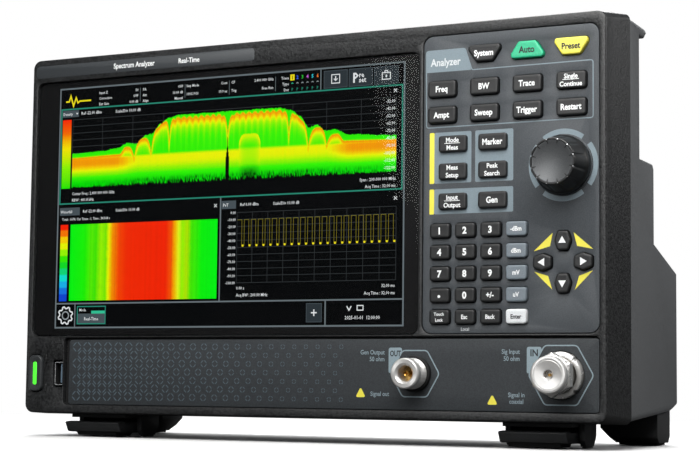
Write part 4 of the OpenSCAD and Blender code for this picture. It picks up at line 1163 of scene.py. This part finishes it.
def generator_port():
    """Generator output: bevelled front ring, groove, threaded rear part, open bore."""
    at, front = TG_AT, -12.5
    profile = [
        (4.15, -2.6), (4.15, front + 1.2), (5.0, front + 0.25), (5.3, front), (7.1, front),
        (7.75, front + 0.55), (7.9, front + 0.9), (7.9, front + 3.3), (7.72, front + 3.6),
        (7.1, front + 3.75), (7.1, front + 4.3), (7.7, front + 4.45), (7.9, front + 4.75)
    ]
    y = front + 4.95
    while y < -2.4:  # thread
        profile += [(7.9, y), (7.55, y + 0.3), (7.55, y + 0.4), (7.9, y + 0.7)]
        y += 0.85
    profile += [(7.9, -1.6), (7.9, 3.0), (8.4, 3.2), (8.4, 4.6), (4.15, 4.6)]
    bm = bmesh.new()
    turned(bm, at, profile, 96, first=False, last=False)
    piece("generator_port_shell", bm, "case", "turned_nickel", slot="port_metal",
          stands_for=("generator_port",), angle=28)
    bm = bmesh.new()
    washer = [(7.92, -2.0), (8.7, -2.0), (9.1, -1.7), (9.2, -1.2), (9.2, 0.55), (7.92, 0.55)]
    turned(bm, at, washer, 72, first=False, last=False)
    piece("generator_port_washer", bm, "case", "black_rubber_and_painted_shade", slot="port_metal")
    bm = bmesh.new()
    turned(bm, at, [(1.9, -2.9), (2.6, -3.2), (4.14, -3.2), (4.14, -2.6), (1.9, -2.6)], 48)
    piece("generator_port_insulator", bm, "case", "bronze", slot="port_metal")
    bm = bmesh.new()
    turned(bm, at, [(0.5, -8.0), (0.7, -9.8), (1.15, -10), (1.5, -9.6), (1.6, -3), (1.6, -2.6)], 32)
    piece("generator_port_contact", bm, "case", "gold", slot="port_metal")


def six_sided(a, r, y):
    if r <= 9.5:
        return r
    return min(r, 9.55 / math.cos((a + math.pi / 6) % (math.pi / 3) - math.pi / 6))


def notched(a, r, y):
    return r - (0.9 if r > 10.5 and y < 0 and abs(math.sin(2 * a)) > 0.995 else 0)


def input_port():
    """Input: nose cone with a small bore, hexagon nut, dark neck, slotted flange."""
    at, front = RF_AT, -18.0
    bm = bmesh.new()
    turned(bm, at, [
        (2.3, -9.2), (2.3, front + 0.95), (2.7, front + 0.62), (5.2, front + 0.36),
        (7.0, front + 0.14), (7.15, front + 0.22), (7.35, front + 0.22), (7.5, front + 0.08),
        (8.5, front), (8.75, front + 0.1), (9.25, front + 0.75), (9.3, front + 1.1), (9.3, -14.6),
        (9.1, -14.4), (9.1, -13.9), (8.2, -13.9), (8.2, -7.9)
    ], 128, first=False)
    piece("input_port_nose", bm, "case", "turned_nickel", slot="port_metal",
          stands_for=("input_port",), angle=28)
    # hexagon nut, its corners turned down at both ends
    bm = bmesh.new()
    turned(bm, at, [
        (7.9, -14.0), (9.3, -14.0), (9.9, -13.75), (11.0, -13.1), (11.2, -12.6),
        (11.2, -9.4), (11.0, -8.9), (9.9, -8.2), (9.4, -8.0), (7.9, -8.0)
    ], 180, six_sided)
    piece("input_port_nut", bm, "case", "nickel", slot="port_metal", angle=24)
    bm = bmesh.new()
    turned(bm, at, [(8.9, -8.2), (8.9, -7.4), (8.6, -7.1), (8.6, -2.6), (9.0, -2.2), (9.0, -1.6)], 96)
    piece("input_port_neck", bm, "case", "dark_steel", slot="port_metal")
    bm = bmesh.new()
    flange = [(8.8, -1.9), (10.9, -2.0), (11.45, -1.75), (11.7, -1.3), (11.7, 3.0), (8.8, 3.0)]
    turned(bm, at, flange, 128, notched)
    piece("input_port_flange", bm, "case", "nickel", slot="port_metal")
    bm = bmesh.new()
    turned(bm, at, [(0.3, -16.4), (0.62, -16.1), (0.7, -15.7), (0.7, -9.2)], 24)
    turned(bm, at, [(0.72, -9.3), (2.32, -9.3), (2.32, -9.0), (0.72, -9.0)], 32)
    piece("input_port_contact", bm, "case", "gold", slot="port_metal")


def power_key():
    px, pz = POWER_AT
    cap = around(POWER_AT, *POWER_CAP)
    bar = around(POWER_AT, 2.7, 13.2)
    outer = stack(cap, 3.6, (
        (-1.3, -1.32), (-0.75, -1.4), (-0.45, -1.34), (-0.15, -1.05), (0, -0.6), (0, 3.4)
    ))
    inner = stack(bar, 1.2, ((0.2, -1.32), (0.02, -1.2), (0.02, 3.4)))
    bm = bmesh.new()
    plate(bm, outer, [inner])
    piece("power_button_cap", bm, "power_key", "button_grey", slot="button_grey",
          stands_for=("power_button",))
    bm = bmesh.new()
    loft(bm, stack(bar, 1.2, ((-0.75, -1.42), (-0.3, -1.36), (-0.05, -1.2), (-0.03, 2.5))), True, True)
    piece("power_light_pipe", bm, "power_key", "light_green", slot="light_pipe",
          stands_for=("power_light_bar",))
    # guard ridges beside the button
    bm = bmesh.new()
    for z in (pz + 8.3, pz - 8.3):
        ridge = around((px + 7.0, z), 1.3, 4.6)
        loft(bm, stack(ridge, 0.6, ((0, 0.1), (0, -0.45), (-0.25, -0.7)), 3), last=True)
    piece("power_guards", bm, "case", "bezel_paint", slot="bezel_plastic")
    bm = bmesh.new()
    # black floor of the well behind the button: painted shade in the recess
    loft(bm, stack(cap, 3.6, ((0.9, 5.9), (0.9, 6.3))), True, True)
    piece("power_well_painted_shade", bm, "case", "black_rubber_and_painted_shade", slot="bezel_plastic")


def front_usb():
    ux, uz = USB_AT
    bm = bmesh.new()
    out, inn = around(USB_AT, 5.7, 13.1), around(USB_AT, 4.8, 12.2)
    plate(bm, stack(out, 0.6, ((-0.08, 1.2), (0, 1.3), (0, 14)), 3),
          [stack(inn, 0.4, ((0.05, 1.2), (0, 1.3), (0, 14)), 3)])
    # steel only on the shell's front edge; its walls behind it are black as painted shade inside the
    # socket
    piece("usb_shell", bm, "case", "steel", "black_rubber_and_painted_shade", slot="plated_steel",
          stands_for=("front_usb_port",), pick=lambda p, n: 1 if p.y > 1.6 else 0)
    bm = bmesh.new()
    tongue = rect(ux + 0.3, ux + 2.1, uz - 5.5, uz + 5.5)
    loft(bm, stack(tongue, 0.2, ((-0.15, 2.5), (0, 2.7), (0, 13.8)), 2), True, True)
    piece("usb_tongue", bm, "case", "socket_blue", slot="plated_steel")
    bm = bmesh.new()
    for k in range(4):
        z = uz - 3.75 + k * 2.5
        contact = rect(ux + 0.12, ux + 0.34, z - 0.5, z + 0.5)
        loft(bm, [ring(contact, 3.2), ring(contact, 12)], True, True)
    piece("usb_contacts", bm, "case", "gold", slot="plated_steel")
    # black sheet at the back of the socket: painted shade
    bm = bmesh.new()
    floor = rect(ux - 2.5, ux + 2.5, uz - 6.2, uz + 6.2)
    loft(bm, [ring(floor, 13.6), ring(floor, 14)], True, True)
    piece("usb_painted_shade_floor", bm, "case", "black_rubber_and_painted_shade", slot="plated_steel")


connector_fascia()
generator_port()
input_port()
power_key()
front_usb()

# ---------------------------------------------------------------- cover and back


def rear_cover():
    """The cover's own shape with its outside edges rounded."""
    fan_low, fan_high = node_box("fan_frame")
    bm = cad_shape("rear_cover")
    soft = []
    for e in bm.edges:
        if not e.is_manifold or e.calc_face_angle(0) < SHARP or e.calc_length() < 2.2:
            continue
        a, b = e.verts[0].co, e.verts[1].co
        m = (a + b) / 2
        grille = m.x < -165 and fan_low.y - 4 < m.y < fan_high.y and fan_low.z < m.z < fan_high.z
        hollow = e.calc_face_angle_signed(0) < 0 or m.y < 44 and m.z < 101
        inside = abs(m.x) < cover_half_width(m.y) - 1 and hollow
        well = abs(abs(m.x) - 166) < 6 and m.y > 105 and abs(a.x - b.x) < 4
        if not grille and not well and not inside and m.y > 24:
            soft.append(e)
    bmesh.ops.bevel(
        bm, geom=soft, offset=1.1, segments=3, profile=0.5, affect="EDGES", clamp_overlap=False
    )
    piece("rear_cover_shell", bm, "case", "cover_paint", slot="cover_plastic",
          stands_for=("rear_cover",), angle=32)


def cover_half_width(y):
    return 178 - (y - 23.5) * 3.8 / 97.5


rear_cover()
for node, name, width, finish, slot, steps in (
    ("carry_handle", "carry_handle_grip", 1.2, "handle_rubber", "handle_rubber", 3),
    ("case_feet", "case_feet_mouldings", 0.5, "foot_plastic", "foot_plastic", 2),
    ("foot_pads", "foot_pads_strips", 0.25, "pad_rubber", "pad_rubber", 2),
    ("tilt_leg_left", "tilt_leg_left_moulding", 0.5, "foot_plastic", "foot_plastic", 2),
    ("tilt_leg_right", "tilt_leg_right_moulding", 0.5, "foot_plastic", "foot_plastic", 2),
    ("rear_panel", "rear_panel_sheet", 0.15, "rear_paint", "rear_paint", 1),
    ("power_rocker", "power_rocker_cap", 0.35, "chip_black", "inlet_plastic", 2),
    ("rear_bnc_ports", "rear_bnc_bodies", 0.25, "nickel", "port_metal", 2),
    ("fan_frame", "fan_housing", 0.3, "fan_black", "fan_plastic", 2),
    ("fan_rotor", "fan_blades", 0.25, "fan_black", "fan_plastic", 2)
):
    rounded(node, name, width, finish, slot=slot, steps=steps)
INLET = node_middle("mains_inlet")


def inlet_pins(p, n):
    """1 on the metal pins in the inlet's well, 0 on its moulding."""
    low = INLET[1] - 16 < p.z < INLET[1] - 4 and abs(p.x - INLET[0]) < 8.4
    return 1 if low and 97 < p.y < 105.4 and n.y > -0.5 and abs(p.y - 95.5) > 0.3 else 0


def socket_shells(p, n):
    return 0 if abs(p.y - 109.4) < 0.5 or n.y > 0.9 and p.y > 108 else 1


dress("rear_data_ports", "steel", "chip_black", pick=socket_shells)
rounded("mains_inlet", "mains_inlet_body", 0.3, "chip_black", "steel", slot="inlet_plastic",
        pick=inlet_pins)


def rear_marks():
    """Printed words by the rear sockets, all plain function names."""
    bm = bmesh.new()
    words = (
        ("10 MHz IN", -96, -62, 1.9), ("10 MHz OUT", -70, -62, 1.9), ("TRIG IN", -44, -62, 1.9),
        ("TRIG OUT", -18, -62, 1.9), ("LAN", 34, -64, 2.2), ("USB HOST", 68, -64, 2.0),
        ("USB DEV", 94, -64, 2.0), ("VIDEO", 118, -64, 2.0), ("LOCK", 144, -77, 1.8)
    )
    for word, x, z, tall in words:
        letters(bm, word, (-x, z), tall, 0, bold=0.03)
    for v in bm.verts:  # turned round to face the back
        v.co.x, v.co.y = -v.co.x, 108.53
    look(bm.faces, 1, 1)
    piece("rear_panel_letters", bm, "case", "print_dark", slot="rear_paint", solid=False)
    bm = bmesh.new()
    for x in (-96, -70, -44, -18):
        turned(bm, (x, -50), [(0.4, 118.4), (0.9, 118.2), (1.0, 112)], 20)
        sleeve = [(3.78, 112.4), (3.78, 111.6), (1.02, 111.6), (1.02, 112.4)]
        turned(bm, (x, -50), sleeve, 32, first=False, last=False)
    piece("rear_bnc_contacts", bm, "case", "gold", slot="port_metal")


rear_marks()

# ---------------------------------------------------------------- inside



def board_parts(p, n):
    """The main board: 0 board, 1 chips, 2 heat sink, 3 shield can."""
    if p.y < 27.7:
        return 0
    if -41 < p.x < 11 and 24 < p.z < 76 and p.y > 30.5:
        return 2
    return 3 if p.x < -76 and p.z > 50 else 1


def supply_parts(p, n):
    return 0 if p.z < -86 else 2 if -46 < p.x < -40 else 1


dress("lcd_module", "lcd_black", "tin", pick=lambda p, n: 1 if p.y > 8.9 else 0)
dress("keypad_mat", "mat_rubber")
dress("keypad_board", "board_green", "chip_black", pick=lambda p, n: 1 if p.y > 8.7 else 0)
dress("encoder_body", "steel")
dress("chassis_frame", "aluminium")
dress("main_board", "board_green", "chip_black", "aluminium", "tin", pick=board_parts)
dress("rf_module", "tin")
dress("rf_cables", "copper")
dress("power_supply", "board_green", "chip_black", "tin", pick=supply_parts)
dress("assembly_screws", "steel")

# ---------------------------------------------------------------- studio


def floor_paper():
    """Pale paper near the object that turns into the white of the backdrop further out."""
    mat = surface("floor_paper", "f2f2f3", "f8f8f9", 0.8, 0.95, 400, 0.05, {"specular": 0.1})
    tree = mat.node_tree
    where = add(tree, "TexCoord").outputs["Object"]
    far = add(tree, "VectorMath", {0: where}, operation="LENGTH").outputs["Value"]
    share = add(tree, "MapRange", {"Value": far, "From Min": 0.25, "From Max": 0.75},
                interpolation_type="SMOOTHSTEP")
    white = add(tree, "Emission", {"Color": (1, 1, 1, 1), "Strength": 1.0})
    paper = tree.nodes["Principled BSDF"].outputs[0]
    mix = add(tree, "MixShader", {0: share.outputs["Result"], 1: paper, 2: white.outputs[0]})
    # the paper lights the object from below less than its white look would
    eye = add(tree, "LightPath").outputs["Is Camera Ray"]
    dull = add(tree, "BsdfDiffuse", {"Color": (0.06, 0.06, 0.06, 1)})
    shown = add(tree, "MixShader", {0: eye, 1: dull.outputs[0], 2: mix.outputs[0]})
    tree.links.new(shown.outputs[0], tree.nodes["Material Output"].inputs["Surface"])
    return mat


def studio():
    scene = bpy.context.scene
    scene.view_settings.view_transform = "Standard"
    world = bpy.data.worlds.new("studio_world")
    world.use_nodes = True
    scene.world = world
    tree = world.node_tree
    tree.nodes.clear()
    eye = add(tree, "LightPath").outputs["Is Camera Ray"]
    white = add(tree, "Background", {"Color": (1, 1, 1, 1), "Strength": 1.0})
    dim = add(tree, "Background", {"Color": (0.93, 0.96, 1, 1), "Strength": 0.1})
    mix = add(tree, "MixShader", {0: eye, 1: dim.outputs[0], 2: white.outputs[0]})
    out = add(tree, "OutputWorld")
    tree.links.new(mix.outputs[0], out.inputs["Surface"])

    middle = Vector((0, 0, 0.11))
    for name, place, size, power, tint in (
        ("key", (0.2, -0.38, 0.52), (0.6, 0.4), 5, (1, 0.99, 0.97)),
        ("front", (-0.05, -1.1, 0.5), (0.6, 0.6), 4.5, (1, 1, 1)),
        ("top", (-0.1, 0.22, 1.25), (0.7, 0.5), 15, (1, 1, 1)),
        ("side", (1.5, 0.6, 0.8), (0.6, 0.6), 7, (1, 1, 1)),
        ("back", (-0.5, 1.4, 0.8), (0.9, 0.9), 20, (1, 1, 1))
    ):
        data = bpy.data.lights.new(name + "_light", "AREA")
        data.shape, data.size, data.size_y = "RECTANGLE", *size
        data.energy, data.color = power, tint
        lamp = link(name + "_light", data)
        lamp.location = place
        lamp.rotation_mode = "QUATERNION"
        lamp.rotation_quaternion = (Vector(place) - middle).to_track_quat("Z", "Y")

    bm = bmesh.new()
    steps = 96
    turns = [math.tau * i / steps for i in range(steps)]
    rings = [[(r * math.cos(a), r * math.sin(a), 0) for a in turns] for r in (0.6, 1.5, 4, 12)]
    loft(bm, rings, first=True)
    bmesh.ops.recalc_face_normals(bm, faces=bm.faces)
    look(bm.faces, 2, 1)
    mesh = bpy.data.meshes.new("studio_floor")
    bm.to_mesh(mesh)
    bm.free()
    floor = link("studio_floor", mesh)
    floor.location.z = cad[0].z - 0.0003
    mesh.materials.append(floor_paper())

    data = bpy.data.cameras.new("camera")
    data.sensor_fit = "HORIZONTAL"
    data.sensor_width = 36
    data.angle_x = 2 * math.atan(350 / 1737.57484)
    data.clip_start, data.clip_end = 0.05, 40
    eye = link("camera", data)
    yaw, pitch, roll = 0.46629323, -0.08670441, 0.01018989
    turn = (
        Matrix.Rotation(roll, 3, "Z") @ Matrix.Rotation(pitch, 3, "X") @ Matrix.Rotation(yaw, 3, "Y")
        @ Matrix(((1, 0, 0), (0, 0, -1), (0, 1, 0)))
    )
    pose = (turn.transposed() @ Matrix.Diagonal((1, -1, -1))).to_4x4()
    pose.translation = FACE @ Vector((442.286, -811.773, -83.929))
    eye.matrix_world = pose
    scene.camera = eye


studio()
